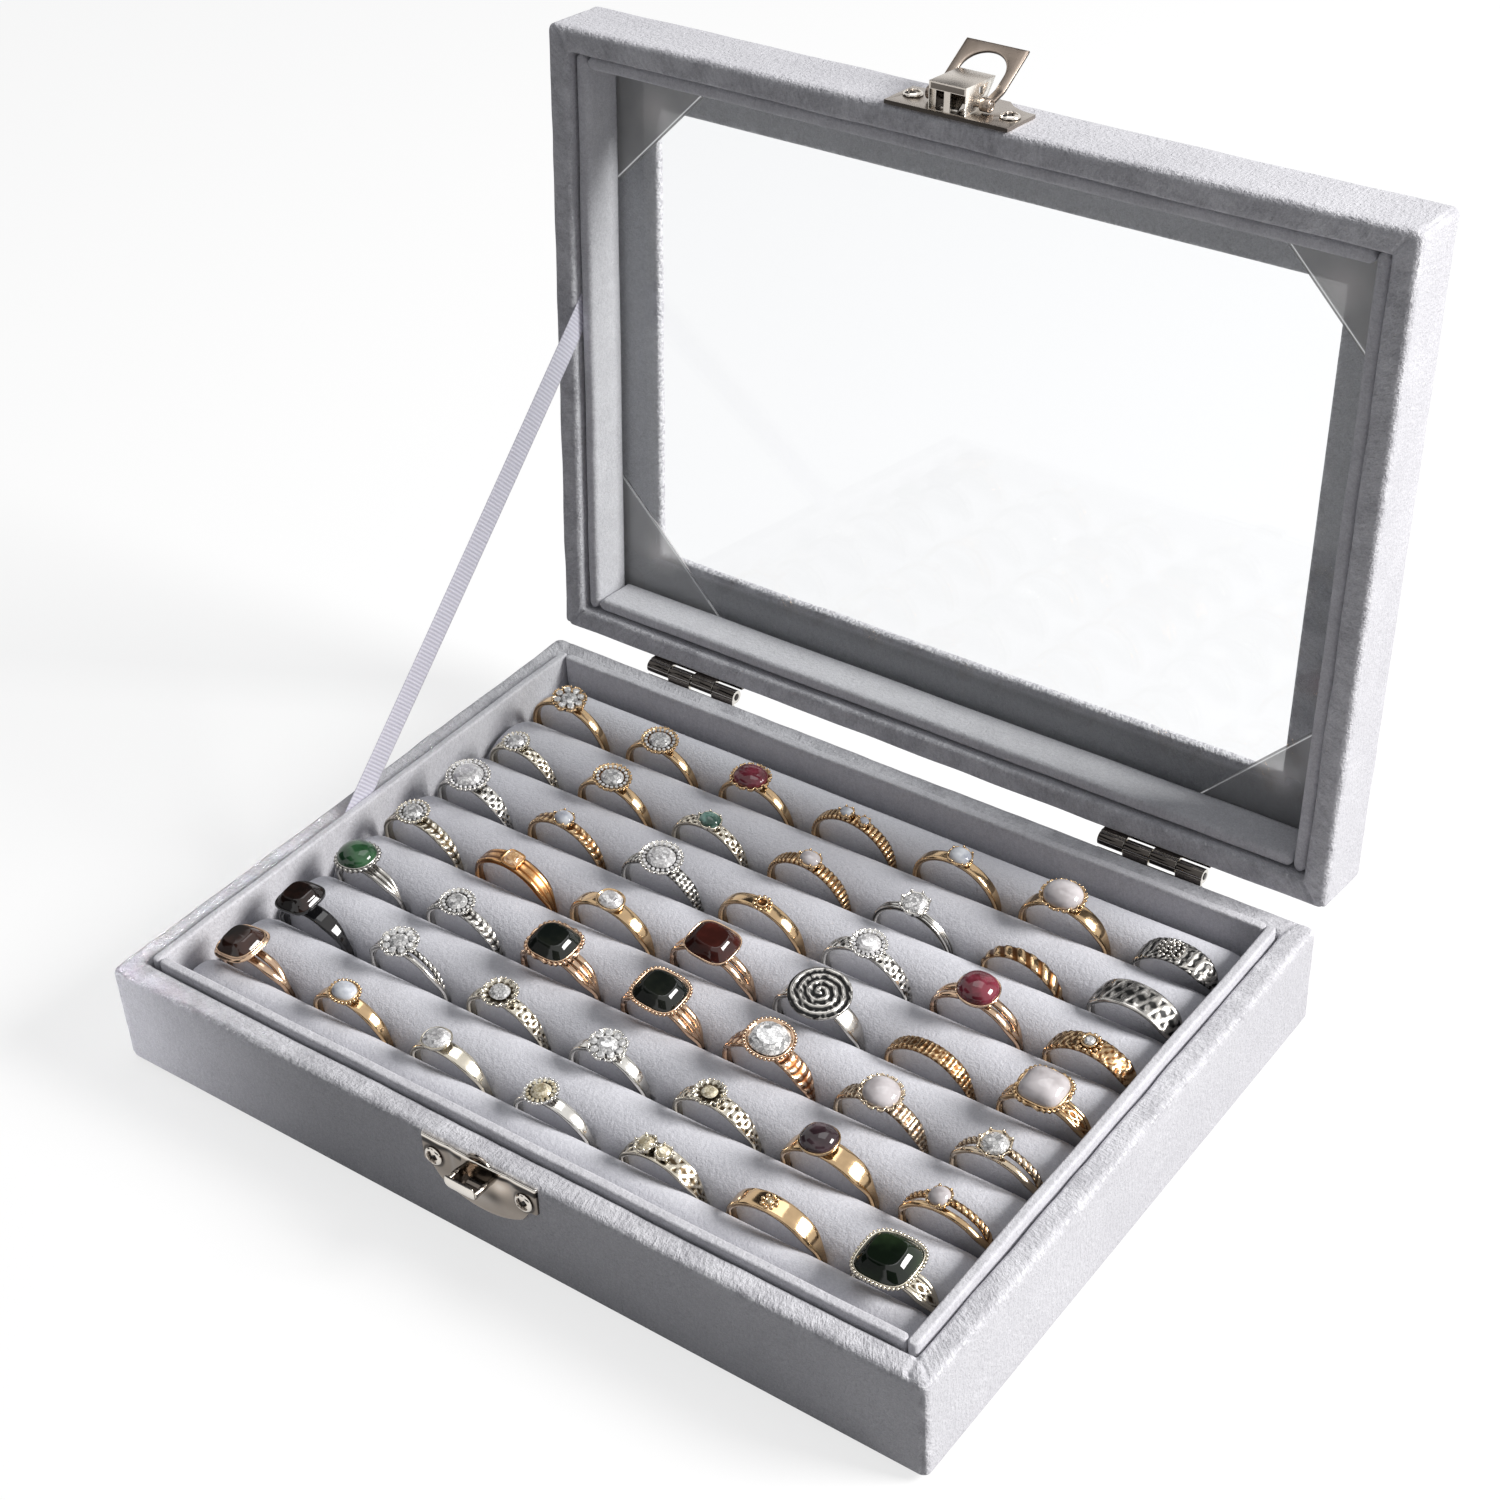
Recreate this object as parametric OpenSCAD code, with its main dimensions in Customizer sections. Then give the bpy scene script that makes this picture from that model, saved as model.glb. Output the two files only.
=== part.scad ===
// Ring display box: a board box wrapped in velvet, with foam rolls for rings,
// a glazed lid on two butt hinges, a ribbon stay and a spring clasp.
// Origin: centre of the underside. +X right along the front, +Y to the hinges, +Z up.
// The lid is drawn closed and then turned to the angle at which the ribbon stops it.

/* [Box] */
// Outside length of base and lid
box_l = 200; // [190:1:230]
// Outside depth of base and lid, front to back
box_d = 146; // [144:1:170]
// Height of the base
base_h = 25; // [24:0.5:32]
// Height of the lid
lid_h = 17; // [15.5:0.5:24]
// Thickness of a wrapped wall
wall_t = 5.5; // [5:0.25:6.5]
// Gap between the two rims when the box is shut
rim_gap = 1; // [0.8:0.1:1.5]
// Radius of the wrapped outer edges
edge_r = 1.6; // [0.8:0.1:2.2]
// Radius of the wrapped inner rim edges
rim_r = 1.2; // [0.5:0.1:1.8]
// Thickness of the floor board
floor_t = 2.5; // [2:0.25:4]
// Thickness of the sheet under the floor
sheet_t = 0.8; // [0.5:0.1:1.2]
// Inset of that sheet from the edges
sheet_inset = 3; // [2:0.5:8]
// Angle at which the ribbon stops the lid
open_angle = 95; // [85:1:105]

/* [Liners] */
// Clearance between a wall and its liner
liner_gap = 0.45; // [0.4:0.05:0.8]
// Thickness of a base liner
base_liner_t = 2; // [1.5:0.25:2.5]
// Height of the base liners above the rim
liner_proud = 1.5; // [0.5:0.25:2]
// Thickness of a lid liner
lid_liner_t = 3; // [2.25:0.25:3.5]
// Depth of the lid liners' edge below the lid's rim
liner_sunk = 2; // [1.8:0.1:3]

/* [Window] */
// Width of the lip round the window, from the outside of the lid
lip_w = 19; // [15:0.5:24]
// Thickness of the lip
lip_t = 2.5; // [2:0.25:3.5]
// Thickness of the pane
glass_t = 2; // [1.5:0.25:3]
// Thickness of the corner patches
patch_t = 0.3; // [0.2:0.1:0.5]
// Length of a corner patch along each wall
patch_leg = 33.4; // [20:0.2:40]
// Clearance of the pane and patches to the walls
pane_gap = 0.3; // [0.2:0.05:0.6]

/* [Rolls] */
// Thickness of the card under the rolls
pad_t = 1; // [0.8:0.1:2]
// Height of the rolls' crests above the underside
crest_z = 22; // [20:0.5:23]
// Radius of the crown across a roll
crown_r = 9.5; // [8:0.25:14]
// Radius where the crown turns down to the slot
shoulder_r = 4; // [2.5:0.25:5]
// Radius of the rolls' ends
roll_end_r = 6; // [3:0.5:9]
// Clearance of the rolls to the liners
roll_gap = 0.3; // [0.2:0.05:0.6]
// Distance from slot to slot
row_pitch = 17.2; // [16.5:0.1:17.6]
// Width of a slot
slot_w = 2.8; // [2.6:0.1:3.2]
// Shift of the middle slot from the middle of the tray
row_shift = -1; // [-2:0.5:2]

/* [Rings] */
// Distance from the end of a slot to its first ring
ring_end = 12.55; // [11.5:0.05:14]
// Shift of the middle column from the middle of the tray
column_shift = 1; // [-1:0.5:1]
// Outer radius of a shank
ring_r = 10.8; // [9.5:0.1:11]
// Thickness of a shank
shank_t = 1.3; // [1.1:0.1:1.6]
// Width of a shank inside the slot
shank_w = 2.2; // [1.6:0.1:2.4]
// Height of the rings' centres above the underside
ring_z = 17.6; // [17.2:0.1:18.4]
// Wall of a stone's setting
setting_t = 0.5; // [0.4:0.05:0.7]

/* [Hinges] */
// Distance from hinge to hinge, middle to middle
hinge_span = 121.5; // [90:0.5:140]
// Length of a hinge
hinge_l = 25.2; // [20:0.2:32]
// Height of a leaf from the axis
leaf_h = 9; // [8:0.5:12]
// Thickness of a leaf
leaf_t = 0.8; // [0.6:0.05:1]
// Outer radius of a knuckle
knuckle_r = 1.6; // [1.5:0.05:1.8]
// Radius of the hinge pins
pin_r = 0.8; // [0.6:0.05:0.9]
// Distance of the hinge axis behind the back wall
hinge_off = 1.8; // [1.7:0.1:2.4]
// Gap between two knuckles
knuckle_gap = 0.2; // [0.15:0.05:0.4]
// Running clearance of pins in their bores
pin_gap = 0.05; // [0.03:0.01:0.08]

/* [Clasp] */
// Thickness of the clasp's sheet
clasp_t = 0.8; // [0.6:0.05:0.9]
// Width of the plate on the lid
clasp_w = 28.4; // [27:0.2:34]
// Height of that plate's ends
clasp_end_h = 10.7; // [9.5:0.1:11.5]
// Height of that plate in the middle
clasp_h = 14.2; // [13:0.1:14.4]
// Distance between the two screws of a plate
screw_span = 22.4; // [21.6:0.1:23]
// Width of the folded housing
house_w = 8.5; // [7.5:0.1:8.8]
// Height of the folded housing from the wall
house_h = 6.5; // [5.5:0.1:7.5]
// Length of the housing's roof, up the lid
house_l = 10.8; // [9:0.1:12]
// Height of the flap's pivot above the lid's rim
pivot_up = 5.5; // [5.2:0.1:6]
// Distance of the flap's pivot from the wall
pivot_out = 2.4; // [2.3:0.05:2.7]
// Width of the flap
flap_w = 14.5; // [14:0.1:15.5]
// Length of the flap's legs up to the bend
leg_l = 5; // [4:0.1:5.5]
// Length of the flap past the bend
flap_l = 10.6; // [10.4:0.1:11.4]
// Angle of the flap's bend
flap_bend = 18; // [14:1:20]
// Width of the flap's arch
arch_w = 10.2; // [9.8:0.1:10.6]
// Width of the bar at the flap's end
bar_w = 2.1; // [1.6:0.1:2.3]
// Angle from latched to raised
flap_swing = 146; // [120:1:150]

/* [Catch] */
// Width of the plate on the base
catch_w = 28.6; // [27:0.2:34]
// Width of the curled nose
nose_w = 7.4; // [6:0.1:7.8]
// Outer radius of the nose's curl
nose_r = 3.2; // [2.8:0.1:3.3]
// Distance of the nose's ends below the base's rim
nose_down = 2.6; // [2.4:0.1:3]

/* [Screws] */
// Radius of a round head
head_r = 2.1; // [1.8:0.1:2.3]
// Height of a round head
head_h = 1.1; // [0.8:0.1:1.4]
// Radius of a screw's shank
screw_r = 0.9; // [0.7:0.05:1]
// Length of a screw in the wall
screw_l = 4; // [3:0.25:4.4]
// Clearance round a screw
screw_gap = 0.1; // [0.05:0.01:0.2]

/* [Ribbon] */
// Width of the ribbon
ribbon_w = 6.3; // [5:0.1:9]
// Thickness of the ribbon
ribbon_t = 0.3; // [0.15:0.05:0.35]
// Distance from the hinge axis to where the ribbon enters each rim
ribbon_reach = 79; // [70:0.5:90]
// Depth to which the ribbon is glued in behind each liner
ribbon_tail = 8; // [4:0.5:10]

/* [Hidden] */
$fn = 48;

// How far a cutter runs past what it cuts, and how far two solids of one piece run into each other
over = 1;
bite = 0.1;

// Levels and inside sizes of the box
lid_z0 = base_h + rim_gap;
lid_z1 = lid_z0 + lid_h;
lip_z = lid_z1 - lip_t;
pane_z = lip_z - patch_t - glass_t;
floor_z = sheet_t + floor_t;
pad_z = floor_z + pad_t;
in_l = box_l - 2 * wall_t;
in_d = box_d - 2 * wall_t;
tray_l = in_l - 2 * (liner_gap + base_liner_t);
tray_d = in_d - 2 * (liner_gap + base_liner_t);

// Radius of the corners of the sheet under the floor
sheet_r = 3;

// Hinge axis, the leaf's clearance to the knuckles, and the screws that fasten a leaf
hinge_y = box_d / 2 + hinge_off;
hinge_z = base_h + rim_gap / 2;
knuckles = 4;
root_gap = 0.3;
leaf_screw_in = 4.6;
leaf_screw_rise = 3.2;
leaf_screw_x = hinge_l / 2 - leaf_screw_in;
leaf_screw_down = leaf_h - leaf_screw_rise;
leaf_head_r = 1.7;
leaf_head_h = 0.9;

// Screws of the clasp above the lid's rim, and of the catch below the base's rim
clasp_screw_up = 6.2;
catch_screw_down = 4.6;

// Rows and columns of rings, spread over the length of the tray
rows = 7;
columns = 7;
ring_pitch = (tray_l - 2 * ring_end) / (columns - 1);
function row_y(r) = row_shift + row_pitch * ((rows - 1) / 2 - r);
function column_x(c) = column_shift + ring_pitch * (c - (columns - 1) / 2);

// The rings, back row first and from left to right. Each is its metal, the width of the
// shank at the top, the kind of head, the head's length and width, its height above the
// shank, and its stone.
RINGS = [
    ["gold", 2.4, "round", 7, 7, 1.6, "clear"], ["gold", 2.2, "round", 7.6, 7.6, 1.6, "clear"],
    ["gold", 2.4, "round", 8, 8, 1.8, "red"], ["gold", 2.8, "cushion", 5, 3.6, 1, "moon"],
    ["gold", 2.8, "cushion", 5.6, 4.8, 1.4, "moon"], ["gold", 3, "cushion", 9, 8, 1.8, "moon"],
    ["oxidised", 5.5, "disc", 8, 8, 0.8, "none"],
    ["silver", 2.6, "round", 5.6, 5.6, 1.2, "clear"], ["gold", 2.4, "round", 7, 7, 1.6, "clear"],
    ["silver", 2.8, "cushion", 5, 4.2, 1.2, "green"], ["gold", 3, "cushion", 5.4, 4.4, 1.2, "moon"],
    ["silver", 2, "round", 6, 6, 2.2, "clear"], ["gold", 3, "band", 0, 0, 0, "none"],
    ["oxidised", 6, "band", 0, 0, 0, "none"],
    ["silver", 2.8, "round", 8.6, 8.6, 1.6, "clear"], ["gold", 2.6, "cushion", 4.6, 4, 1, "moon"],
    ["silver", 3, "round", 9, 9, 1.6, "clear"], ["gold", 2.8, "band", 0, 0, 0, "none"],
    ["silver", 3, "round", 8, 8, 1.6, "clear"], ["rose_gold", 3.8, "round", 8, 8, 1.8, "red"],
    ["gold", 4.4, "round", 3.6, 3.6, 0.6, "clear"],
    ["silver", 3, "round", 7.6, 7.6, 1.4, "clear"], ["gold", 4.4, "cushion", 5, 5, 0.9, "amber"],
    ["gold", 2.8, "cushion", 5.2, 4.2, 1.2, "clear"], ["rose_gold", 3.6, "cushion", 9.6, 8.4, 1.8, "red"],
    ["oxidised", 4, "disc", 12.4, 12.4, 1, "none"], ["gold", 3.2, "band", 0, 0, 0, "none"],
    ["gold", 3.6, "cushion", 9.6, 8.6, 1.8, "moon"],
    ["oxidised", 2.8, "cushion", 9.2, 7.8, 1.8, "green"], ["silver", 2.8, "round", 7.6, 7.6, 1.6, "clear"],
    ["rose_gold", 4.4, "cushion", 9.4, 8.4, 2, "dark"], ["rose_gold", 4.4, "cushion", 10, 9, 1.8, "dark"],
    ["rose_gold", 4.4, "round", 9.2, 9.2, 1.8, "clear"], ["gold", 3.6, "round", 8, 8, 1.4, "moon"],
    ["gold", 4, "round", 6.4, 6.4, 1.6, "clear"],
    ["enamel", 3.4, "cushion", 8.6, 7.8, 2, "dark"], ["silver", 2.8, "round", 7.6, 7.6, 1.4, "clear"],
    ["silver", 3, "cushion", 6.6, 6.6, 1.4, "clear"], ["silver", 2.8, "round", 7.6, 7.6, 1.6, "clear"],
    ["oxidised", 4.2, "round", 5.6, 5.6, 1.2, "amber"], ["gold", 4.4, "cushion", 7.2, 6.4, 1.6, "dark"],
    ["gold", 4, "round", 4.8, 4.8, 1.4, "moon"],
    ["rose_gold", 3.6, "cushion", 8.4, 7.8, 2, "dark"], ["gold", 2.8, "cushion", 6.6, 5.4, 1.4, "moon"],
    ["silver", 3.2, "cushion", 6.2, 5.2, 1.4, "clear"], ["silver", 2.6, "round", 7, 7, 1.4, "clear"],
    ["silver", 4.4, "round", 4.4, 4.4, 1, "amber"], ["gold", 4.4, "band", 0, 0, 0, "none"],
    ["silver", 4.6, "cushion", 11.4, 10.2, 2.2, "dark"]];
function ring_width(ring) = ring[1];
function ring_head(ring) = ring[2];
function head_l(ring) = ring[3];
function head_w(ring) = ring[4];
function head_up(ring) = ring[5];

// A wide shank stays narrow until it is clear of the rolls, and then flares
shank_clear = 1.5;
shank_flare = 3;

// How deep a head sinks into its shank, and how a stone sits in its setting
head_sink = 0.9;
stone_gap = 0.05;
seat_d = 0.9;

// Shares of a stone's width: the corners of a cushion, the rise of a stone, and its table
cushion_share = 0.36;
rise_share = 0.24;
table_share = 0.3;

// Height of the ring on an openwork disc
boss_h = 0.5;

// Frames of reference

// Turns what is drawn on the closed lid to the open lid
module at_lid() {
    translate([0, hinge_y, hinge_z])
        rotate([-open_angle, 0, 0])
            translate([0, -hinge_y, -hinge_z]) children();
}

// On the front wall: x to the right, y up from z, z out of the wall
module on_front(z) {
    translate([0, -box_d / 2, z]) rotate([90, 0, 0]) children();
}

// On the back wall at one hinge: y up from the axis, z out of the wall
module on_back(x) {
    translate([x, box_d / 2, hinge_z]) rotate([90, 0, 180]) children();
}

module at_hinges() {
    for (side = [-1, 1]) on_back(side * hinge_span / 2) children();
}

// Extrudes along x a side view in which x is out of the wall and y is up
module across(w) {
    rotate([0, -90, 0]) linear_extrude(w, center = true) children();
}

// Common shapes

module round_rect(l, w, r) {
    square([l - 2 * r, w], center = true);
    square([l, w - 2 * r], center = true);
    for (x = [-1, 1], y = [-1, 1]) translate([x * (l / 2 - r), y * (w / 2 - r)]) circle(r);
}

// A block with all its edges rounded, standing on z = 0
module wrapped_block(l, d, h, r) {
    intersection() {
        linear_extrude(h) round_rect(l, d, r);
        translate([0, 0, h / 2]) rotate([90, 0, 0])
            linear_extrude(d, center = true) round_rect(l, h, r);
        translate([0, 0, h / 2]) rotate([90, 0, 90])
            linear_extrude(l, center = true) round_rect(d, h, r);
    }
}

// What is cut away to round the inner edges of a rim at z = 0, for a wall below it
module rim_cut(l, d, r) {
    for (side = [0, 180]) rotate(side) {
        translate([0, -d / 2, 0]) rotate([90, 0, 90]) rim_fillet(l, r);
        translate([-l / 2, 0, 0]) rotate([90, 0, 0]) rim_fillet(d, r);
    }
}

module rim_fillet(len, r) {
    difference() {
        translate([-r, -r, -len / 2]) cube([r + over, r + over, len]);
        translate([-r, -r, -len / 2 - over]) cylinder(r = r, h = len + 2 * over);
    }
}

// A wrapped card strip along x, standing on z = 0, with a rounded top edge
module card_strip(len, t, h) {
    rotate([90, 0, 90]) linear_extrude(len, center = true) {
        translate([-t / 2, 0]) square([t, h - t / 2]);
        translate([0, h - t / 2]) circle(t / 2);
    }
}

// A round-head wood screw through a sheet: z = 0 is on the sheet, under the head
module wood_screw(r, h, sheet) {
    dome_r = 1.6 * r;
    slot = [1.1 * r, 0.25 * r, 0.9 * h];
    difference() {
        intersection() {
            cylinder(r = r, h = h);
            translate([0, 0, h - dome_r]) sphere(dome_r);
        }
        for (turn = [0, 90]) rotate(turn) translate([0, 0, h]) cube(slot, center = true);
    }
    translate([0, 0, -screw_l - sheet]) cylinder(r = screw_r, h = screw_l + sheet + bite);
}

module screw_bore() {
    cylinder(r = screw_r + screw_gap, h = 2 * (screw_l + over), center = true);
}

// Base

module base_shell() {
    color("#c9c8ce") difference() {
        translate([0, 0, sheet_t]) wrapped_block(box_l, box_d, base_h - sheet_t, edge_r);
        translate([-in_l / 2, -in_d / 2, floor_z]) cube([in_l, in_d, base_h]);
        translate([0, 0, base_h]) rim_cut(in_l, in_d, rim_r);
        on_front(base_h - catch_screw_down)
            for (x = [-1, 1]) translate([x * screw_span / 2, 0, 0]) screw_bore();
        at_hinges() for (x = [-1, 1])
            translate([x * leaf_screw_x, -leaf_screw_down, 0]) screw_bore();
    }
}

module bottom_sheet() {
    color("#8f8e94") linear_extrude(sheet_t)
        round_rect(box_l - 2 * sheet_inset, box_d - 2 * sheet_inset, sheet_r);
}

base_liner_h = base_h + liner_proud - floor_z;
base_strip_l = in_l - 2 * (liner_gap + base_liner_t + roll_gap);

module base_strip(side) {
    translate([0, side * (in_d / 2 - liner_gap - base_liner_t / 2), floor_z])
        card_strip(base_strip_l, base_liner_t, base_liner_h);
}

module base_side_strip(side) {
    translate([side * (in_l / 2 - liner_gap - base_liner_t / 2), 0, floor_z])
        rotate(90) card_strip(in_d - 2 * liner_gap, base_liner_t, base_liner_h);
}

module base_liner_front() { color("#c4c3ca") base_strip(-1); }

module base_liner_back() { color("#c4c3ca") base_strip(1); }

module base_liner_left() { color("#c4c3ca") base_side_strip(-1); }

module base_liner_right() { color("#c4c3ca") base_side_strip(1); }

module pad_board() {
    color("#b5b4ba") translate([0, 0, floor_z + pad_t / 2])
        cube([tray_l - 2 * roll_gap, tray_d - 2 * roll_gap, pad_t], center = true);
}

// One foam roll between the depths y0 and y1: its crown, its shoulders and its round ends
module ring_roll(y0, y1) {
    w = y1 - y0;
    h = crest_z - pad_z;
    l = tray_l - 2 * roll_gap;
    translate([0, (y0 + y1) / 2, pad_z]) intersection() {
        rotate([90, 0, 90]) linear_extrude(l, center = true) intersection() {
            translate([0, h - crown_r]) circle(crown_r, $fn = 96);
            union() {
                translate([-w / 2, 0]) square([w, h - shoulder_r]);
                translate([0, h / 2]) round_rect(w, h, shoulder_r);
            }
        }
        rotate([90, 0, 0]) linear_extrude(w, center = true) union() {
            translate([-l / 2, 0]) square([l, h - roll_end_r]);
            translate([-l / 2 + roll_end_r, 0]) square([l - 2 * roll_end_r, h]);
            for (x = [-1, 1]) translate([x * (l / 2 - roll_end_r), h - roll_end_r]) circle(roll_end_r);
        }
    }
}

// Roll k lies behind slot k, and the last one in front of the last slot
function roll_back(k) = k == 0 ? tray_d / 2 - roll_gap : row_y(k - 1) - slot_w / 2;
function roll_front(k) = k == rows ? -tray_d / 2 + roll_gap : row_y(k) + slot_w / 2;

module velvet_roll(k) {
    color("#bdbcc4") ring_roll(roll_front(k), roll_back(k));
}

module ring_roll_1() { velvet_roll(0); }

module ring_roll_2() { velvet_roll(1); }

module ring_roll_3() { velvet_roll(2); }

module ring_roll_4() { velvet_roll(3); }

module ring_roll_5() { velvet_roll(4); }

module ring_roll_6() { velvet_roll(5); }

module ring_roll_7() { velvet_roll(6); }

module ring_roll_8() { velvet_roll(7); }

// Catch on the base's front wall

catch_top = 0.3;
catch_end_h = 6.2;
catch_mid_h = 12.6;
catch_window_h = 5.2;
slit_w = 0.4;
nose_lip = 0.8;

// Plate seen from the front: a straight top and a shield-shaped lower edge
module catch_outline() {
    drop = catch_mid_h - catch_end_h;
    belly_r = (pow(catch_w / 2, 2) + pow(drop, 2)) / (2 * drop);
    intersection() {
        translate([-catch_w / 2, -catch_mid_h]) square([catch_w, catch_mid_h]);
        translate([0, belly_r - catch_mid_h]) circle(belly_r, $fn = 96);
    }
}

// The nose seen from the side: a half round curl that opens upwards, with a short lip
module nose_side() {
    translate([nose_r, 0]) {
        difference() {
            circle(nose_r);
            circle(nose_r - clasp_t);
            translate([-nose_r - over, 0]) square([2 * (nose_r + over), nose_r + over]);
        }
        translate([nose_r - clasp_t, 0]) square([clasp_t, nose_lip]);
    }
}

module catch_plate() {
    color("#cfc8c2") on_front(base_h) {
        difference() {
            translate([0, -catch_top, 0]) linear_extrude(clasp_t) catch_outline();
            translate([-nose_w / 2 - slit_w, -nose_down - catch_window_h, -over])
                cube([nose_w + 2 * slit_w, catch_window_h, 2 * over + clasp_t]);
            for (x = [-1, 1]) translate([x * screw_span / 2, -catch_screw_down, 0]) screw_bore();
        }
        translate([0, -nose_down, 0]) across(nose_w) nose_side();
        intersection() {
            translate([0, -nose_down, 0]) cylinder(r = nose_w / 2, h = clasp_t);
            translate([-nose_w / 2, -nose_down, 0]) cube([nose_w, nose_w, clasp_t]);
        }
    }
}

module catch_screws() {
    color("#ddd8d4") on_front(base_h - catch_screw_down) for (x = [-1, 1])
        translate([x * screw_span / 2, 0, clasp_t]) wood_screw(head_r, head_h, clasp_t);
}

// Hinges

// The leaf of one hinge, with y away from the axis, and the knuckles it carries
module hinge_leaf(first) {
    pitch = hinge_l / knuckles;
    root = knuckle_r + root_gap;
    difference() {
        union() {
            translate([-hinge_l / 2, root, 0]) cube([hinge_l, leaf_h - root, leaf_t]);
            for (k = [first : 2 : knuckles - 1])
                translate([-hinge_l / 2 + k * pitch + knuckle_gap / 2, 0, 0]) {
                    cube([pitch - knuckle_gap, root + over, leaf_t]);
                    translate([0, 0, hinge_off]) rotate([0, 90, 0])
                        cylinder(r = knuckle_r, h = pitch - knuckle_gap);
                }
        }
        translate([0, 0, hinge_off]) rotate([0, 90, 0])
            cylinder(r = pin_r + pin_gap, h = hinge_l + 2 * over, center = true);
        for (x = [-1, 1]) translate([x * leaf_screw_x, leaf_screw_down, 0]) screw_bore();
    }
}

module leaf_screws() {
    for (x = [-1, 1]) translate([x * leaf_screw_x, leaf_screw_down, leaf_t])
        wood_screw(leaf_head_r, leaf_head_h, leaf_t);
}

module hinge_base_leaves() {
    color("#8d8279") at_hinges() mirror([0, 1, 0]) hinge_leaf(0);
}

module hinge_base_screws() {
    color("#b4aca6") at_hinges() mirror([0, 1, 0]) leaf_screws();
}

module hinge_pins() {
    color("#a39a93") at_hinges() translate([0, 0, hinge_off]) rotate([0, 90, 0])
        cylinder(r = pin_r, h = hinge_l, center = true);
}

module hinge_lid_leaves() {
    color("#8d8279") at_lid() at_hinges() hinge_leaf(1);
}

module hinge_lid_screws() {
    color("#b4aca6") at_lid() at_hinges() leaf_screws();
}

// Lid

module lid_frame() {
    win_l = box_l - 2 * lip_w;
    win_d = box_d - 2 * lip_w;
    lip_r = lip_t / 2;
    color("#c9c8ce") at_lid() difference() {
        union() {
            difference() {
                translate([0, 0, lid_z0]) wrapped_block(box_l, box_d, lid_h, edge_r);
                translate([-in_l / 2, -in_d / 2, lid_z0 - over]) cube([in_l, in_d, lip_z - lid_z0 + over]);
                translate([-win_l / 2 - lip_r, -win_d / 2 - lip_r, lid_z0])
                    cube([win_l + 2 * lip_r, win_d + 2 * lip_r, lid_h + over]);
            }
            translate([0, 0, lip_z + lip_r]) for (side = [-1, 1]) {
                translate([0, side * (win_d / 2 + lip_r), 0]) rotate([0, 90, 0])
                    cylinder(r = lip_r, h = win_l + 3 * lip_r, center = true);
                translate([side * (win_l / 2 + lip_r), 0, 0]) rotate([90, 0, 0])
                    cylinder(r = lip_r, h = win_d + 3 * lip_r, center = true);
            }
        }
        translate([0, 0, lid_z0]) mirror([0, 0, 1]) rim_cut(in_l, in_d, rim_r);
        on_front(lid_z0 + clasp_screw_up)
            for (x = [-1, 1]) translate([x * screw_span / 2, 0, 0]) screw_bore();
        at_hinges() for (x = [-1, 1])
            translate([x * leaf_screw_x, leaf_screw_down, 0]) screw_bore();
    }
}

module window_glass() {
    color("#dfe8ea") at_lid() translate([0, 0, pane_z + glass_t / 2])
        cube([in_l - 2 * pane_gap, in_d - 2 * pane_gap, glass_t], center = true);
}

module window_corner_patches() {
    color("#a9a8ae") at_lid() for (x = [-1, 1], y = [-1, 1])
        translate([x * (in_l / 2 - pane_gap), y * (in_d / 2 - pane_gap), lip_z - patch_t])
            linear_extrude(patch_t) polygon([[0, 0], [-x * patch_leg, 0], [0, -y * patch_leg]]);
}

lid_liner_z = lid_z0 + liner_sunk;
lid_liner_h = pane_z - lid_liner_z;
lid_strip_l = in_l - 2 * (liner_gap + lid_liner_t + roll_gap);

// The lid's strips hang from the pane, so they are drawn upside down
module lid_strip(side) {
    color("#c4c3ca") at_lid()
        translate([0, side * (in_d / 2 - liner_gap - lid_liner_t / 2), pane_z])
            mirror([0, 0, 1]) card_strip(lid_strip_l, lid_liner_t, lid_liner_h);
}

module lid_side_strip(side) {
    color("#c4c3ca") at_lid()
        translate([side * (in_l / 2 - liner_gap - lid_liner_t / 2), 0, pane_z])
            mirror([0, 0, 1]) rotate(90)
                card_strip(in_d - 2 * liner_gap, lid_liner_t, lid_liner_h);
}

module lid_liner_front() { lid_strip(-1); }

module lid_liner_back() { lid_strip(1); }

module lid_liner_left() { lid_side_strip(-1); }

module lid_liner_right() { lid_side_strip(1); }

// Spring clasp on the lid's front wall, drawn with y up from the lid's rim

plate_up = 0.3;
cove_r = 8.8;
cove_in = 0.7;
house_up = 0.8;
house_foot = 7.2;
roof_fall = 0.2;
house_window = [house_w / 4, 0.45 * house_h];
cheek_hole = 1.6;
cheek_hole_at = [1, 2.3];
spring_t = 0.4;
spring_side = 1.5;
spring_clear = 0.5;
spring_tip = 1.5;
foot_r = 1.4;
arch_r = 3.6;

module on_lid_front() {
    at_lid() on_front(lid_z0) children();
}

module at_pivot() {
    on_lid_front() translate([0, pivot_up, pivot_out]) children();
}

// Plate seen from the front: straight ends and hollow shoulders up to the middle
module clasp_outline() {
    difference() {
        translate([-clasp_w / 2, plate_up]) square([clasp_w, clasp_h - plate_up]);
        for (x = [-1, 1]) translate([x * (clasp_w / 2 - cove_in), clasp_end_h + cove_r])
            circle(cove_r, $fn = 96);
    }
}

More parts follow.
